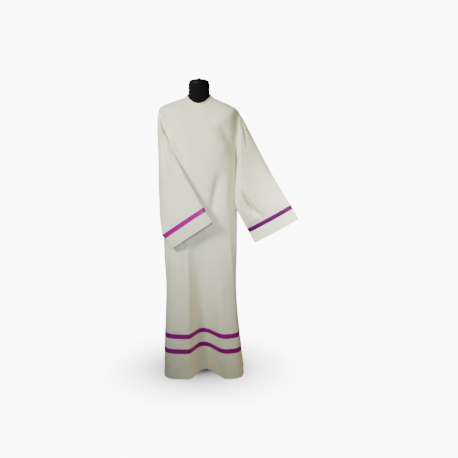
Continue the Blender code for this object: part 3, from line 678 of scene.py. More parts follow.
frontCreases = creasesOn("front", [
    [(5, 1320, 0, 22), (35, 1292, 4, 26), (64, 1262, 6, 28), (94, 1222, 6, 28), (120, 1180, 4, 28),
     (138, 1145, 0, 24)],
    [(50, 1340, 0, 14), (78, 1320, -6, 17), (104, 1296, -11, 20), (130, 1268, -12, 22),
     (147, 1237, -9, 22), (159, 1208, -4, 20), (167, 1178, 0, 18)],
    [(-168, 1266, 0, 10), (-158, 1244, 6, 11), (-145, 1219, 13, 13), (-130, 1185, 14, 14),
     (-112, 1150, 9, 13), (-94, 1115, 3, 12), (-80, 1090, 0, 12)],
    [(-142, 1355, 0, 9), (-137, 1315, -4, 10), (-128, 1275, -6, 12), (-117, 1235, -8, 14),
     (-104, 1195, -9, 15), (-88, 1160, -8, 16), (-70, 1130, -5, 17), (-50, 1105, 0, 16)],
    [(104, 1078.5, 0, 20), (98, 1039, -8, 21), (86, 979, -16, 22), (74, 919, -16, 22), (62, 858.5, -9, 22),
     (52, 798, 0, 20)],
    [(134, 1088, 0, 12), (134, 1028, 2, 13), (130, 953, 4, 14), (124, 867, 5, 16), (118, 776, 4, 18),
     (116.5, 699, 0, 16)],
    [(-91, 787, 0, 9), (-86, 726, -4, 9), (-82, 665, -7, 10), (-80, 572.5, -8, 11), (-80, 470, -7, 11),
     (-79, 394, -6, 11), (-75, 319, -3, 10), (-70, 268, 0, 9)],
    [(-63, 767, 0, 9), (-61, 700, 3, 9), (-59, 614, 4, 9), (-58, 521.5, 4, 9), (-57.5, 419.5, 4, 9),
     (-57.5, 318, 4, 9), (-55, 216, 3, 9), (-50, 113, 2, 9), (-48, 16, 1, 9)],
    [(-171, 760, 0, 10), (-168, 690, -3, 10), (-165, 620, -4, 10), (-166, 540, -3, 10), (-168, 460, 0, 10)],
    [(14.8, 200, 0, 9), (14.6, 150, 2, 9), (14.4, 105, 4, 9), (14, 62, 6, 9), (12.7, 16, 7, 9)],
    [(-8, 770, 0, 9), (-8.5, 700, 2.5, 9), (-7, 630, 2.5, 9), (0, 555, 0, 9)],
    [(68, 530, 0, 12), (66, 460, -2, 12), (63, 380, -2.5, 12), (60, 290, 0, 12)],
    [(112, 550, 0, 12), (115, 460, 2, 12), (119, 360, 2, 12), (124, 260, 0, 12)],
    [(186, 1345, 0, 5), (186.5, 1310, -4, 6), (186.5, 1260, -7, 6), (187, 1210, -7, 6), (187, 1160, -5, 6),
     (187, 1120, 0, 6)],
]) + creasesOn("front", [
    [(154, 1102, 0, 16), (146.5, 1027, 2, 16), (139, 952, 4, 16), (141.4, 875, 6, 17),
     (146.5, 798.5, 7, 18), (151.6, 721, 8, 18), (159, 607, 9, 18), (166, 512, 9, 18), (175, 407, 8, 18),
     (180, 332, 7, 18), (185, 257, 6, 18), (190, 157.5, 4, 18), (195, 66, 3, 18), (197, 16, 2, 18)],
], sharp=1.0)

backCreases = creasesOn("back", [
    [(-98, 1330, 0, 26), (-102, 1220, -3, 28), (-106, 1080, -5, 28), (-108, 950, -4, 26),
     (-106, 800, 0, 22)],
    [(94, 1310, 0, 26), (104, 1200, -4, 28), (116, 1050, -6, 28), (126, 900, -4, 26), (134, 760, 0, 22)],
    [(8, 1240, 0, 22), (12, 1100, -3, 26), (14, 980, -4, 26), (15, 860, 0, 24)],
    [(-52, 960, 0, 16), (-50, 800, 3, 16), (-46, 600, 4, 16), (-44, 380, 4, 16), (-43, 160, 3, 16),
     (-43, 16, 2, 16)],
    [(78, 900, 0, 14), (79, 720, 3, 14), (80, 500, 4, 14), (82, 280, 3, 14), (83, 16, 2, 14)],
    [(-150, 720, 0, 12), (-153, 560, -3, 12), (-156, 400, -4, 12), (-157, 220, -2, 12), (-158, 100, 0, 12)],
    [(128, 1200, 0, 12), (112, 1170, -3, 14), (90, 1150, -3, 14), (66, 1140, 0, 12)],
    [(-136, 1190, 0, 12), (-118, 1155, -3, 14), (-94, 1130, -2, 14), (-70, 1120, 0, 12)],
])

sideCreases = creasesOn("right", [
    [(-50, 1060, 0, 12), (-52, 950, -3, 14), (-56, 800, -4, 14), (-58, 640, -3, 14), (-58, 500, 0, 12)],
    [(30, 1020, 0, 14), (34, 880, -3, 16), (38, 700, -5, 16), (40, 480, -4, 16), (40, 280, 0, 14)],
]) + creasesOn("left", [
    [(-62, 740, 0, 12), (-64, 600, -3, 14), (-66, 450, -4, 14), (-66, 280, 0, 12)],
    [(28, 980, 0, 14), (32, 820, -4, 16), (36, 620, -5, 16), (38, 400, -3, 16), (38, 220, 0, 14)],
])


def seamGroove(points, edges):  # the slight hollow that stitching draws along a panel's sewn edges
    moved = np.zeros(points.shape[:2])
    for edge in edges:
        moved -= robe["seamGroove"] * bell(np.linalg.norm(points - edge, axis=2), robe["seamGrooveWidth"])
    return moved


def makePanel(name, side, columns, creases, seed):
    points, normals, uv = plainPanel(side, columns)
    moved = creased(points, normals, creases + sideCreases) + unevenness(points, robe["uneven"], seed)
    hanging = smooth((robe["shoulder"] - heights) / robe["yoke"])[:, None]
    moved = np.where(moved < 0.0, moved * mix(robe["yokeHollows"], 1.0, hanging), moved)
    moved += seamGroove(points, [points[:, :1], points[:, -1:]])
    aboveFold = heights - robe["hem"] - robe["hemFold"]
    moved -= (robe["hemGroove"] * bell(aboveFold, robe["hemGrooveWidth"]))[:, None]
    shaped = clearOfForm(points + normals * moved[..., None], robe["wall"] + robe["offForm"])
    facing = facingAs(gridNormals(shaped, False), normals)
    wall = np.where(heights < robe["hem"] + robe["hemFold"], robe["hemWall"], robe["wall"])[:, None]
    return makeShell(name, shaped, facing, wall, False, materials["cloth"], uv), shaped, facing


frontPiece, front, frontNormals = makePanel("front_cloth", -1, robe["frontColumns"], frontCreases, 11)
backPiece, back, backNormals = makePanel("back_cloth", 1, robe["backColumns"], backCreases, 12)


def aroundRow(row):  # one row of both panels as a closed ring, with its normals
    return np.concatenate([front[row], back[row]]), np.concatenate([frontNormals[row], backNormals[row]])


collar = {  # a stand collar whose top edge leans a little forward of the crease in its middle
    "neckX": -0.003,
    "halfWidth": 0.0615,
    "front": 0.070,
    "back": 0.058,
    "topSide": 1.4545,
    "topFront": 1.4075,
    "topBack": 1.462,
    "frontDip": 1.45,
    "backDip": 2.0,
    "rows": 36,
    "bow": 5.0 * mm,
    "bowAt": 0.62,  # these places are shares of the height
    "bowOver": 0.2,
    "roll": 1.8 * mm,
    "rollAt": 0.2,
    "rollOver": 0.14,
    "rollFrom": 0.1,
    "lean": 1.5 * mm,
    "ripple": 0.7 * mm,
    "ripples": 3.4,
    "rippled": (-0.02, 0.02),  # from this x to the left, growing over this far
    "seam": 0.3 * mm,
    "wall": 1.8 * mm,
    "clothHeight": 0.04,
    "uprightBy": 1.0 / 3.0,
}


def makeCollar():
    line, normals = aroundRow(0)
    below, _ = aroundRow(1)
    base = line + unit(line - below) * collar["seam"]
    fromPole = base - np.array([0.0, clothY, 0.0])
    angle = np.arctan2(fromPole[:, 1], fromPole[:, 0])
    inFront = angle < 0.0
    depth = np.where(inFront, collar["front"], collar["back"])
    zEnd = np.where(inFront, collar["topFront"], collar["topBack"])
    dip = np.abs(np.sin(angle)) ** np.where(inFront, collar["frontDip"], collar["backDip"])
    top = [
        collar["neckX"] + collar["halfWidth"] * np.cos(angle),
        depth * np.sin(angle) + clothY,
        mix(collar["topSide"], zEnd, dip),
    ]
    top = np.stack(top, axis=1)
    outward = unit(fromPole * np.array([1.0, 1.0, 0.0]))
    around = lengthsAlong(base)
    rippledFrom, rippledOver = collar["rippled"]
    onLeft = (smooth((rippledFrom - base[:, 0]) / rippledOver) * inFront)[:, None]
    rows, facings, uvs = [], [], []
    for share in np.arange(collar["rows"] + 1) / collar["rows"]:
        roll = collar["roll"] * bell(share - collar["rollAt"], collar["rollOver"])
        standOff = roll * smooth(share / collar["rollFrom"]) + collar["lean"] * share**3
        standOff -= collar["bow"] * bell(share - collar["bowAt"], collar["bowOver"])
        waved = math.sin(fullTurn * collar["ripples"] * share) * math.sin(math.pi * share)
        rows.append(mix(base, top, share) + outward * (standOff + collar["ripple"] * waved * onLeft))
        facings.append(unit(mix(normals, outward, min(1.0, share / collar["uprightBy"]))))
        uvs.append(np.stack([around, np.full(len(around), collar["clothHeight"] * share)], axis=1))
    points, facing, uv = np.array(rows), np.array(facings), np.array(uvs)
    return makeShell("collar_cloth", points, facing, collar["wall"], False, materials["cloth"], uv)


collarPiece = makeCollar()


# Each section and the cuff is flat: its top, its bottom, how far the front and the back layer stand
# off the line between them, and the heading in degrees that the front layer faces.
rightSleeve = {
    "sections": [
        ((0.2110, -0.001, 1.347), (0.1910, -0.022, 1.072), 0.0520, 0.0660, -90.0),
        ((0.2510, -0.002, 1.274), (0.1870, -0.048, 0.985), 0.0500, 0.0620, -90.0),
        ((0.3150, -0.005, 1.151), (0.1850, -0.060, 0.890), 0.0450, 0.0580, -90.0),
        ((0.3830, -0.010, 1.029), (0.2130, -0.045, 0.828), 0.0420, 0.0460, -90.0),
        ((0.4420, -0.015, 0.931), (0.2350, -0.028, 0.783), 0.0370, 0.0350, -90.0),
    ],
    "cuff": ((0.5090, -0.022, 0.8200), (0.2840, -0.022, 0.6950), 0.0290, 0.0250, -90.0),
    "pulls": [  # the underarm comes in over the robe's side
        {"towards": (-1, 0, 0),
         "line": [(195, 1170, 0, 14), (192, 1110, 4, 14), (189, 1040, 7, 14), (188, 960, 8, 14),
          (190, 900, 5, 14), (200, 860, 0, 14)]},
    ],
    "creases": creasesOn("front", [
        [(194, 1335, 0, 6), (193, 1300, -9, 6), (194, 1260, -13, 7), (196.5, 1210, -12, 7),
         (199, 1170, -8, 7), (199, 1130, -3, 7), (198, 1100, 0, 7)],
    ], sharp=0.6) + creasesOn("front", [
        [(206, 1306, 0, 8), (206, 1251, 4, 8), (207, 1186, 5, 8), (208, 1127, 4, 8), (204.5, 1066, 0, 8)],
        [(207, 1338.5, 0, 6), (215, 1311, -4, 6), (225, 1276, -5, 6), (233, 1241, -4, 7),
         (240, 1206, -2, 8), (245, 1176, 0, 8)],
        [(212, 1300, 0, 6), (217, 1260, 3, 7), (221.5, 1220, 3, 8), (226, 1180, 0, 8)],
        [(214, 972, 0, 8), (226, 947, -15, 10), (239, 921, -31, 10), (253, 896, -34, 11),
         (268, 875, -29, 12), (288, 855, -20, 13), (313, 841, -10, 15), (343, 832, 0, 16)],
        [(230, 978, 0, 14), (248, 948, 6, 14), (268, 921, 8, 15), (294, 898, 5, 16), (325, 880, 0, 16)],
        [(220.3, 903.4, 0, 12), (236, 866, 5, 14), (252, 831.5, 5, 14), (268, 801, 0, 12)],
        [(319.9, 980.9, 0, 5), (326.1, 993.4, -2, 5), (332.8, 1000.8, 0, 5)],
        [(314.8, 954.6, 0, 5), (325.2, 946.2, -2.5, 5), (337.1, 949.5, 0, 5)],
        [(414.2, 914.6, 0, 5), (419.5, 908, -1.5, 5), (424.9, 901.4, 0, 5)],
        [(401.9, 829.5, 0, 5), (417.5, 819.1, -1.5, 5), (435.7, 813.8, 0, 5)],
        [(245, 1176, 0, 22), (260, 1136, -2, 26), (270.6, 1085.5, -3, 26), (286, 1025, -3, 26),
         (312, 963, -2, 26), (349, 901, 0, 22)],
    ]) + creasesOn("back", [
        [(215, 1280, 0, 10), (212, 1200, -5, 11), (210, 1120, -7, 12), (208, 1040, -4, 11),
         (206, 980, 0, 10)],
        [(225, 955, 0, 12), (248, 918, -8, 14), (277, 885, -9, 15), (312, 860, -5, 16), (346, 846, 0, 16)],
        [(262, 1160, 0, 20), (292, 1090, -3, 24), (325, 1020, -4, 24), (365, 940, 0, 20)],
    ]),
}

leftSleeve = {
    "sections": [
        ((-0.2090, -0.014, 1.360), (-0.1990, 0.004, 1.072), 0.0640, 0.0450, -72.0),
        ((-0.1990, -0.072, 1.294), (-0.2070, 0.002, 1.010), 0.0460, 0.0220, -60.0),
        ((-0.1530, -0.122, 1.212), (-0.2040, -0.010, 0.945), 0.0150, 0.0260, 35.0),
        ((-0.1020, -0.148, 1.115), (-0.2050, -0.034, 0.885), 0.0140, 0.0280, 55.0),
        ((-0.0400, -0.166, 1.005), (-0.2010, -0.072, 0.822), 0.0140, 0.0260, 65.0),
    ],
    "cuff": ((0.0690, -0.190, 0.8270), (-0.1400, -0.140, 0.6810), 0.0160, 0.0250, 77.0),
    "pulls": [  # the upper part of the folded edge lies on the chest and reaches a little further over it
        {"towards": (0, 1, 0), "before": -0.04,
         "line": [(-167, 1247, 0, 14), (-160, 1233, 7, 18), (-151, 1215, 14, 22), (-137, 1180, 14, 24),
          (-118, 1140, 10, 22), (-96, 1100, 5, 20), (-78, 1070, 0, 18)]},
        {"towards": (1, 0, 0), "before": -0.04,
         "line": [(-171, 1262, 0, 14), (-164, 1243, 6, 18), (-153, 1220, 11, 20), (-137, 1180, 5, 18),
          (-118, 1140, 0, 16)]},
    ],
    "creases": creasesOn("front", [
        [(-195, 1270, 0, 8), (-189, 1225, -7, 8), (-180, 1175, -9, 8), (-171, 1130, -9, 8),
         (-164.5, 1085, -9, 9), (-160, 1050, -8, 9), (-154, 979, -6, 10), (-147.7, 909, -3, 10),
         (-143, 860, 0, 10)],
    ], sharp=0.5) + creasesOn("front", [
        [(-183, 1266, 0, 12), (-169, 1226.5, 4, 14), (-158, 1178, 5, 14), (-148, 1139, 5, 14),
         (-138, 1099, 4, 14), (-128, 1050, 0, 12)],
        [(-134, 1050, 0, 14), (-124, 991, -3, 16), (-112, 931.5, -3, 16), (-99.5, 873, -2, 16),
         (-89, 839, 0, 14)],
        [(-197, 1200, 0, 12), (-189, 1120, 4, 14), (-186, 1050, 4, 14), (-180, 970, 2, 14),
         (-175, 900, 0, 12)],
        [(-13.8, 826.7, 0, 6), (15.9, 837, -2, 6), (45.5, 839.3, 0, 6)],
        [(-198.8, 1375, 0, 5), (-194, 1361, -3, 5), (-190, 1346, -3, 5), (-187, 1330, 0, 5)],
    ]) + creasesOn("left", [
        [(-10, 1280, 0, 14), (-18, 1180, -5, 16), (-30, 1060, -6, 16), (-44, 950, -3, 14),
         (-56, 860, 0, 12)],
    ]),
}

sleeveCut = {
    "columns": 96,
    "finer": 3,
    "armholeSteps": 3,
    "stepsPerStretch": 22,
    "cuffSteps": 7,
    "turnIn": 0.003,  # how the cloth turns at the armhole: into it, out of it and, at its top, over it
    "turnOut": 0.007,
    "turnOver": 0.009,
    "foldIn": 0.005,  # the same for the front of the sleeve that is laid across
    "foldOut": 0.004,
    "flatIn": 0.010,  # and for the front of the other
    "flatOut": 0.002,
    "flattest": 0.6,  # the power of a section's outline where a layer is thin
    "thinUpTo": 0.06,
    "hangingFlat": 0.7,  # the same for the front layer of the sleeve that is held out
    "clearance": 0.002,  # off the body
    "foldClearance": 0.004,
    "layer": 0.005,  # room for the layer underneath
    # places along the sleeve: 0 at the armhole, 1 where the cloth has turned, 2 more at each section
    "fixedTo": 0.6,
    "fixedOver": 1.4,
    "freeFrom": 2.0,
    "foldOver": 4.0,
    "creasedBy": 5.0,
    "uneven": 0.9 * mm,
    "cuffGroove": 0.8 * mm,
    "cuffGrooveWidth": 2.5 * mm,
    "seam": 0.3 * mm,
    "wall": 1.1 * mm,
}

cuffMarks = {"ribbonTop": 0.086, "ribbonBottom": 0.061, "fold": 0.030, "edge": 0.0}  # from the cuff's edge


def armholeEdge(left):  # from the shoulder point down the front and up the back
    first, last = rowAt(robe["shoulder"]), rowAt(robe["underarm"])
    atFront, atBack = (-1, 0) if left else (0, -1)
    rows = np.arange(first + 1, last)
    line = np.concatenate([
        [0.5 * (front[first][atFront] + back[first][atBack])],
        front[rows, atFront],
        [0.5 * (front[last][atFront] + back[last][atBack])],
        back[rows[::-1], atBack],
    ])
    facing = np.concatenate([
        [frontNormals[first][atFront]],
        frontNormals[rows, atFront],
        [frontNormals[last][atFront]],
        backNormals[rows[::-1], atBack],
    ])
    along = unit(np.roll(line, -1, axis=0) - np.roll(line, 1, axis=0))
    intoHole = unit(np.cross(facing, along))
    if np.sum(intoHole * (line.mean(axis=0) - line)) < 0.0:
        intoHole = -intoHole
    return line, facing, intoHole


def turnsAround(count):
    return fullTurn * np.arange(count) / count


def sectionRing(section, moved):  # a section as a ring from its top down its front layer, moved back
    top, bottom, frontReach, backReach, heading = section
    top = np.array(top) + np.array([0.0, clothY, 0.0]) - moved
    bottom = np.array(bottom) + np.array([0.0, clothY, 0.0]) - moved
    middle, half = 0.5 * (top + bottom), 0.5 * (top - bottom)
    across = np.array([math.cos(math.radians(heading)), math.sin(math.radians(heading)), 0.0])
    across = unit(across - half * np.dot(across, half) / np.dot(half, half))
    turn = turnsAround(sleeveCut["columns"])
    inFront = np.sin(turn) > 0.0
    reach = np.where(inFront, frontReach, backReach)
    flatness = mix(sleeveCut["flattest"], 1.0, smooth(reach / sleeveCut["thinUpTo"]))
    flatness = np.where(inFront & (heading == -90.0), sleeveCut["hangingFlat"], flatness)
    standOff = reach * np.sign(np.sin(turn)) * np.abs(np.sin(turn)) ** flatness
    return middle + half * np.cos(turn)[:, None] + across * standOff[:, None]


def clearOfBody(points, clearance):  # moves points straight out of the robe's body
    x, y, up = points[..., 0], points[..., 1] - clothY, points[..., 2]
    width = ringValue(x > 0.0, "right", "left", up)
    depth = ringValue(y < 0.0, "front", "back", up)
    power = ringValue(y < 0.0, "frontPower", "backPower", up)
    reach = ovalReach(np.arctan2(np.abs(y), x), width, depth, power)
    grow = np.maximum((reach + clearance) / np.hypot(x, y), 1.0)
    return np.stack([x * grow, y * grow + clothY, up], axis=-1)


def sleeveRings(sleeve, left):  # the armhole, the turn out of it, the sections and the cuff's marks
    line, facing, intoHole = armholeEdge(left)
    turn = turnsAround(sleeveCut["columns"])
    atTop = (0.5 + 0.5 * np.cos(turn))[:, None]
    atFront = np.maximum(np.sin(turn), 0.0)[:, None]
    kind = "fold" if left else "flat"
    inward = mix(sleeveCut["turnIn"], sleeveCut["turnOver"], atTop)
    inward = mix(inward, sleeveCut[kind + "In"], atFront)
    outward = mix(sleeveCut["turnOut"], sleeveCut["turnIn"], atTop)
    outward = mix(outward, sleeveCut[kind + "Out"], atFront)
    start = line + intoHole * sleeveCut["seam"]
    rings = [start, start + intoHole * inward + facing * outward]
    rings += [sectionRing(section, 0.0) for section in sleeve["sections"]]
    cuff = sleeve["cuff"]
    axis = unit(np.array(cuff[0]) - np.array(sleeve["sections"][-1][0]))
    flat = np.array(cuff[0]) - np.array(cuff[1])
    axis = unit(axis - flat * np.dot(axis, flat) / np.dot(flat, flat))
    rings += [sectionRing(cuff, axis * fromEdge) for fromEdge in cuffMarks.values()]
    return rings, facing


def sleeveRows(rings):  # close rows through the rings, each row's place along them, and the marks' rows
    shares = np.arange(sleeveCut["armholeSteps"]) / sleeveCut["armholeSteps"]
    rows = [mix(rings[0], rings[1], share) for share in shares]
    places = list(shares)
    for k in range(1, len(rings) - len(cuffMarks) - 1):
        for t in np.arange(sleeveCut["stepsPerStretch"]) / sleeveCut["stepsPerStretch"]:
            rows.append(curveThrough(*rings[k - 1 : k + 3], t))
            places.append(2 * k - 1 + 2 * t)
    marks = {}
    for k, mark in enumerate(cuffMarks, start=-len(cuffMarks)):
        for t in np.arange(sleeveCut["cuffSteps"]) / sleeveCut["cuffSteps"]:
            rows.append(mix(rings[k - 1], rings[k], t))
        marks[mark] = len(rows)
    rows.append(rings[-1])
    places += [2 * len(rings)] * (len(rows) - len(places))  # the cuff is far from the armhole
    return finer(np.array(rows), sleeveCut["finer"]), np.array(places, float), marks


def makeSleeve(name, sleeve, left, seed):
    rings, facing = sleeveRings(sleeve, left)
    outer, places, marks = sleeveRows(rings)
    fixed = smooth((places - sleeveCut["fixedTo"]) / sleeveCut["fixedOver"])[:, None, None]
    outer = mix(outer, shifted(outer, sleeve["pulls"]), fixed)
    turn = turnsAround(outer.shape[1])
    upper = sleeveCut["layer"] * left * np.sqrt(np.maximum(np.sin(turn), 0.0))  # the layer on top
    atArmhole = left * np.clip(1.0 - (places - sleeveCut["freeFrom"]) / sleeveCut["foldOver"], 0.0, 1.0)
    clearance = mix(sleeveCut["clearance"], sleeveCut["foldClearance"], atArmhole)[:, None] + upper
    free = places >= sleeveCut["freeFrom"]
    outer[free] = clearOfBody(outer[free], clearance[free])
    normals = gridNormals(outer, True)
    if np.sum(normals * (outer - outer.mean(axis=1, keepdims=True))) < 0.0:
        normals = -normals
    moved = creased(outer, normals, sleeve["creases"]) + unevenness(outer, sleeveCut["uneven"], seed)
    moved *= smooth(places / sleeveCut["creasedBy"])[:, None]
    steps = np.linalg.norm(np.diff(outer, axis=0), axis=2).mean(axis=1)
    along = np.concatenate([[0.0], np.cumsum(steps)])
    fromEdge = (along[-1] - along)[:, None]
    moved -= sleeveCut["cuffGroove"] * bell(fromEdge - cuffMarks["fold"], sleeveCut["cuffGrooveWidth"])
    shaped = outer + normals * moved[..., None]
    shaped[free] = clearOfBody(shaped[free], sleeveCut["clearance"] + upper)
    facings = facingAs(gridNormals(shaped, True), normals)
    facings[0] = finer(facing[None], sleeveCut["finer"])[0]
    girth = np.linalg.norm(outer - np.roll(outer, -1, axis=1), axis=2).sum(axis=1)
    uv = np.stack(np.broadcast_arrays(turn / fullTurn * girth[:, None], fromEdge), axis=2)
    piece = makeShell(name, shaped, facings, sleeveCut["wall"], True, materials["cloth"], uv)
    return piece, shaped, facings, marks


sleeves = {
    "sleeve_right": makeSleeve("sleeve_right_cloth", rightSleeve, False, 13),
    "sleeve_left": makeSleeve("sleeve_left_cloth", leftSleeve, True, 14),
}
rightPiece, leftPiece = sleeves["sleeve_right"][0], sleeves["sleeve_left"][0]


def makeRibbon(name, points, normals, roll):  # the ribbon's shell and the two lines of its stitches
    last = len(points) - 1
    share = np.linspace(0.0, 1.0, last + 1)
    edges = bell(share, ribbonTrim["edgeWidth"]) + bell(1.0 - share, ribbonTrim["edgeWidth"])
    thick = ribbonTrim["thick"] * (1.0 + ribbonTrim["edge"] * edges)[:, None]
    outer = points + normals * (ribbonTrim["gap"] + thick)[..., None]
    across = (ribbonTrim["width"] * share)[:, None]
    uv = np.stack(np.broadcast_arrays(lengthsAlong(points[0])[None, :], across), axis=2)
    atStitches = ribbonTrim["stitchesIn"] / ribbonTrim["width"] * last
    pairs = ((0, 1), (last, last - 1))
    lines = [(mix(outer[first], outer[second], atStitches), normals[first]) for first, second in pairs]
    return makeShell(name + "_satin", outer, normals, thick, True, materials[roll], uv), lines


ribbonPieces, ribbonLines = {}, {}
# painted light: the hem's bands and the left sleeve's band take the satin painted lighter as if lit, the
# right sleeve's band the copy painted darker as if shaded
for name, start in (("hem_ribbon_upper", ribbonTrim["upper"]), ("hem_ribbon_lower", ribbonTrim["lower"])):
    top, bottom = rowAt(robe["hem"] + start + ribbonTrim["width"]), rowAt(robe["hem"] + start)
    rows = [aroundRow(row) for row in range(top, bottom + 1)]
    cloth, facing = np.array([row[0] for row in rows]), np.array([row[1] for row in rows])
    ribbonPieces[name], ribbonLines[name] = makeRibbon(name, cloth, facing, "painted-lit ribbon")
for sleeveName, roll in (("sleeve_right", "ribbon"), ("sleeve_left", "painted-lit ribbon")):
    _, cloth, facing, marks = sleeves[sleeveName]
    name, span = sleeveName + "_ribbon", slice(marks["ribbonTop"], marks["ribbonBottom"] + 1)
    ribbonPieces[name], ribbonLines[name] = makeRibbon(name, cloth[span], facing[span], roll)


sewing = {  # lockstitches; the real ones are 2.5 mm long, and these are drawn a little longer and thicker
    "Length": 3.2 * mm,
    "Thread": 0.26 * mm,
    "Rise": 0.7 * mm,
    "pitch": 4.0 * mm,
    "beside": 1.0 * mm,  # a stitch lies along the seam between these distances before and after it
}


def makeStitchTree():
    tree = bpy.data.node_groups.new("stitches along a seam", "GeometryNodeTree")
    tree.interface.new_socket("Geometry", in_out="INPUT", socket_type="NodeSocketGeometry")
    for name in ("Length", "Thread", "Rise"):
        tree.interface.new_socket(name, in_out="INPUT", socket_type="NodeSocketFloat")
    tree.interface.new_socket("Material", in_out="INPUT", socket_type="NodeSocketMaterial")
    tree.interface.new_socket("Geometry", in_out="OUTPUT", socket_type="NodeSocketGeometry")
    given = addNode(tree, "NodeGroupInput").outputs
    ahead = addNode(tree, "Math", {0: given["Length"], 1: 0.5}, operation="MULTIPLY")
    behind = addNode(tree, "Math", {0: given["Length"], 1: -0.5}, operation="MULTIPLY")
    under = addNode(tree, "Math", {0: given["Thread"], 1: -1.0}, operation="MULTIPLY")
    path = {
        "Resolution": 4,
        "Start": addNode(tree, "CombineXYZ", {"X": behind, "Z": under}),
        "Middle": addNode(tree, "CombineXYZ", {"Z": given["Rise"]}),
        "End": addNode(tree, "CombineXYZ", {"X": ahead, "Z": under}),
    }
    arch = addNode(tree, "GeometryNodeCurveQuadraticBezier", path)
    around = addNode(tree, "GeometryNodeCurvePrimitiveCircle", {"Resolution": 5, "Radius": given["Thread"]})
    swept = {"Curve": arch, "Profile Curve": around, "Fill Caps": True}
    stitch = addNode(tree, "GeometryNodeCurveToMesh", swept)
    along = addNode(tree, "GeometryNodeInputNamedAttribute", {"Name": "along"}, data_type="FLOAT_VECTOR")
    outward = addNode(tree, "GeometryNodeInputNamedAttribute", {"Name": "outward"}, data_type="FLOAT_VECTOR")
    axes = {"primary_axis": "X", "secondary_axis": "Z"}
    turned = addNode(tree, "FunctionNodeAxesToRotation", {0: along, 1: outward}, **axes)
    placed = {"Points": given["Geometry"], "Instance": stitch, "Rotation": turned}
    many = addNode(tree, "GeometryNodeInstanceOnPoints", placed)
    real = addNode(tree, "GeometryNodeRealizeInstances", {0: many})
    sewn = addNode(tree, "GeometryNodeSetMaterial", {"Geometry": real, "Material": given["Material"]})
    addNode(tree, "NodeGroupOutput", {0: sewn})
    return tree


stitchTree = makeStitchTree()


def makeStitches(name, lines, closed, thread):  # a line is its points and the directions off the cloth
    spots, headings, outwards = [], [], []
    for points, facing in lines:
        if closed:
            points, facing = np.concatenate([points, points[:1]]), np.concatenate([facing, facing[:1]])
        along = lengthsAlong(points)
        count = int(along[-1] / sewing["pitch"])
        wanted = (np.arange(count) + 0.5) * along[-1] / count
        ahead = atLengths(points, wanted + sewing["beside"])
        astern = atLengths(points, wanted - sewing["beside"])
        spots.append(0.5 * (ahead + astern))
        headings.append(unit(ahead - astern))
        outwards.append(unit(np.stack([np.interp(wanted, along, facing[:, k]) for k in range(3)], axis=1)))
    mesh = bpy.data.meshes.new(name)
    mesh.from_pydata(np.concatenate(spots).tolist(), [], [])
    for key, values in (("along", headings), ("outward", outwards)):
        attribute = mesh.attributes.new(key, "FLOAT_VECTOR", "POINT")
        attribute.data.foreach_set("vector", np.concatenate(values).astype(np.float32).ravel())
    obj = inScene(bpy.data.objects.new(name, mesh))
    modifier = obj.modifiers.new("stitches", "NODES")
    modifier.node_group = stitchTree
    values = {**sewing, "Material": materials[thread]}
    for item in stitchTree.interface.items_tree:
        if item.in_out == "INPUT" and item.name in values:
            modifier[item.identifier] = values[item.name]
    made = bpy.data.meshes.new_from_object(obj.evaluated_get(bpy.context.evaluated_depsgraph_get()))
    obj.modifiers.remove(modifier)
    obj.data = made
    made.name = name
    made.shade_smooth()
    print("sewn", name, len(made.polygons), "faces")
    return obj


stitches = {}
hemRow = rowAt(robe["hem"] + robe["hemFold"])
for name, cloth, facing in (("front", front, frontNormals), ("back", back, backNormals)):
    hemLine = [(cloth[hemRow], facing[hemRow])]
    stitches[name] = makeStitches(name + "_hem_stitches", hemLine, False, "ivory thread")
for name, (_, cloth, facing, marks) in sleeves.items():
    cuffLine = [(cloth[marks["fold"]], facing[marks["fold"]])]
    stitches[name] = makeStitches(name + "_cuff_stitches", cuffLine, True, "ivory thread")
for name, lines in ribbonLines.items():
    stitches[name] = makeStitches(name + "_stitches", lines, True, "magenta thread")


view = {"place": (0.149, -3.32, 1.2625), "aim": (0.149, -0.02, 0.7625), "lens": 49.98, "sensor": 36.0}

softboxes = {  # high on the left, high and narrow on the sleeve, low by the camera, and warm on the right
    "key softbox": {
        "place": (-1.6, -1.9, 2.25), "aim": (-0.02, -0.1, 1.22), "size": 0.8,
        "power": 10.4, "colour": "#F0F0F3", "spread": 40.0,
    },
    "sleeve softbox": {
        "place": (1.5, -2.1, 2.3), "aim": (0.52, -0.03, 0.90), "size": 0.4,
        "power": 2.1, "colour": "#EAEEF8", "spread": 14.0,
    },
    "front softbox": {
        "place": (0.1, -3.1, 1.6), "aim": (0.0, -0.1, 0.78), "size": 0.5,
        "power": 3.2, "colour": "#CBDCFA", "spread": 34.0,
    },
    "warm fill": {
        "place": (2.3, -1.3, 1.5), "aim": (0.1, 0.0, 0.8), "size": 1.2,
        "power": 6.6, "colour": "#FFDDB0", "spread": 100.0,
    },
}

studio = {  # bright paper far behind, and the dim light of the room
    "ambient": 0.17,
    "ambientColour": "#DEE7F6",
    "paper": 10.0,
    "paperColour": "#FFFFFF",
    "floorColour": "#F4F3F0",
    "floorHalf": 6.0,
    "floorFade": (0.0, 0.75),  # metres from the pole
}


def aimed(obj, place, aim):
    obj.location = place
    obj.rotation_euler = (Vector(aim) - Vector(place)).to_track_quat("-Z", "Y").to_euler()
    return inScene(obj)


for name, lamp in softboxes.items():
    light = bpy.data.lights.new(name, "AREA")
    light.shape, light.size, light.energy = "DISK", lamp["size"], lamp["power"]
    light.spread = math.radians(lamp["spread"])
    light.color = linear(lamp["colour"])[:3]
    aimed(bpy.data.objects.new(name, light), lamp["place"], lamp["aim"])

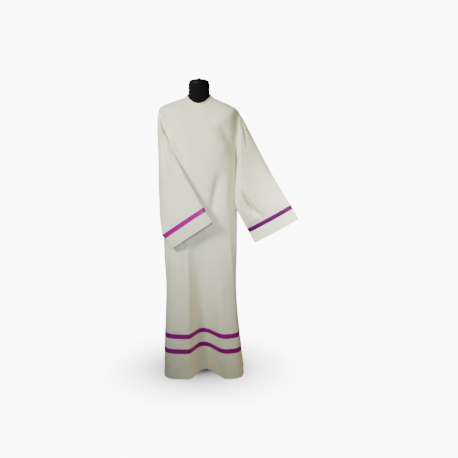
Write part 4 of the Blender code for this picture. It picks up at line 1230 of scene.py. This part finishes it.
world = bpy.data.worlds.new("studio")
world.use_nodes = True
world.node_tree.nodes.clear()
bpy.context.scene.world = world
dim = addNode(world, "Background", {"Color": linear(studio["ambientColour"]), "Strength": studio["ambient"]})
paper = addNode(world, "Background", {"Color": linear(studio["paperColour"]), "Strength": studio["paper"]})
ray = addNode(world, "LightPath")
seen = addNode(world, "MixShader", {0: ray.outputs["Is Camera Ray"], 1: dim, 2: paper})
addNode(world, "OutputWorld", {"Surface": seen})

half = studio["floorHalf"]
floorCorners = [(-half, -half, 0), (half, -half, 0), (half, half, 0), (-half, half, 0)]
floorMesh = bpy.data.meshes.new("floor")
floorMesh.from_pydata(floorCorners, [], [(0, 1, 2, 3)])
floor = inScene(bpy.data.objects.new("floor", floorMesh))
floorPaper = newMaterial("matt white paper floor")
spot = addNode(floorPaper, "TexCoord").outputs["Object"]
away = addNode(floorPaper, "VectorMath", {0: spot}, operation="LENGTH").outputs["Value"]
fading = {0: away, 1: studio["floorFade"][0], 2: studio["floorFade"][1]}
fade = addNode(floorPaper, "MapRange", fading, interpolation_type="SMOOTHERSTEP")
matt = addNode(floorPaper, "BsdfDiffuse", {"Color": linear(studio["floorColour"])})
clear = addNode(floorPaper, "BsdfTransparent")
faded = addNode(floorPaper, "MixShader", {0: fade, 1: matt, 2: clear})
addNode(floorPaper, "OutputMaterial", {"Surface": faded})
floorMesh.materials.append(floorPaper)

camera = aimed(bpy.data.objects.new("camera", bpy.data.cameras.new("camera")), view["place"], view["aim"])
camera.data.lens = view["lens"]
camera.data.sensor_width = view["sensor"]
bpy.context.scene.camera = camera
print("studio lit:", len(softboxes), "lamps")

finishes = {"form_torso": "jersey", "form_neck_cap": "lacquer", "form_pole": "steel", "base": "steel"}
for node, finish in finishes.items():
    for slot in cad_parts[node].material_slots:
        slot.material = materials[finish]

standsFor = {
    frontPiece: ("front", "cloth"),
    backPiece: ("back", "cloth"),
    collarPiece: ("collar", "cloth"),
    rightPiece: ("sleeve_right", "cloth"),
    leftPiece: ("sleeve_left", "cloth"),
    **{piece: (name, "ribbon") for name, piece in ribbonPieces.items()},
}
for piece, (node, slotName) in standsFor.items():
    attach(piece, "root")
    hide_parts(node)
for node, piece in stitches.items():
    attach(piece, "root")
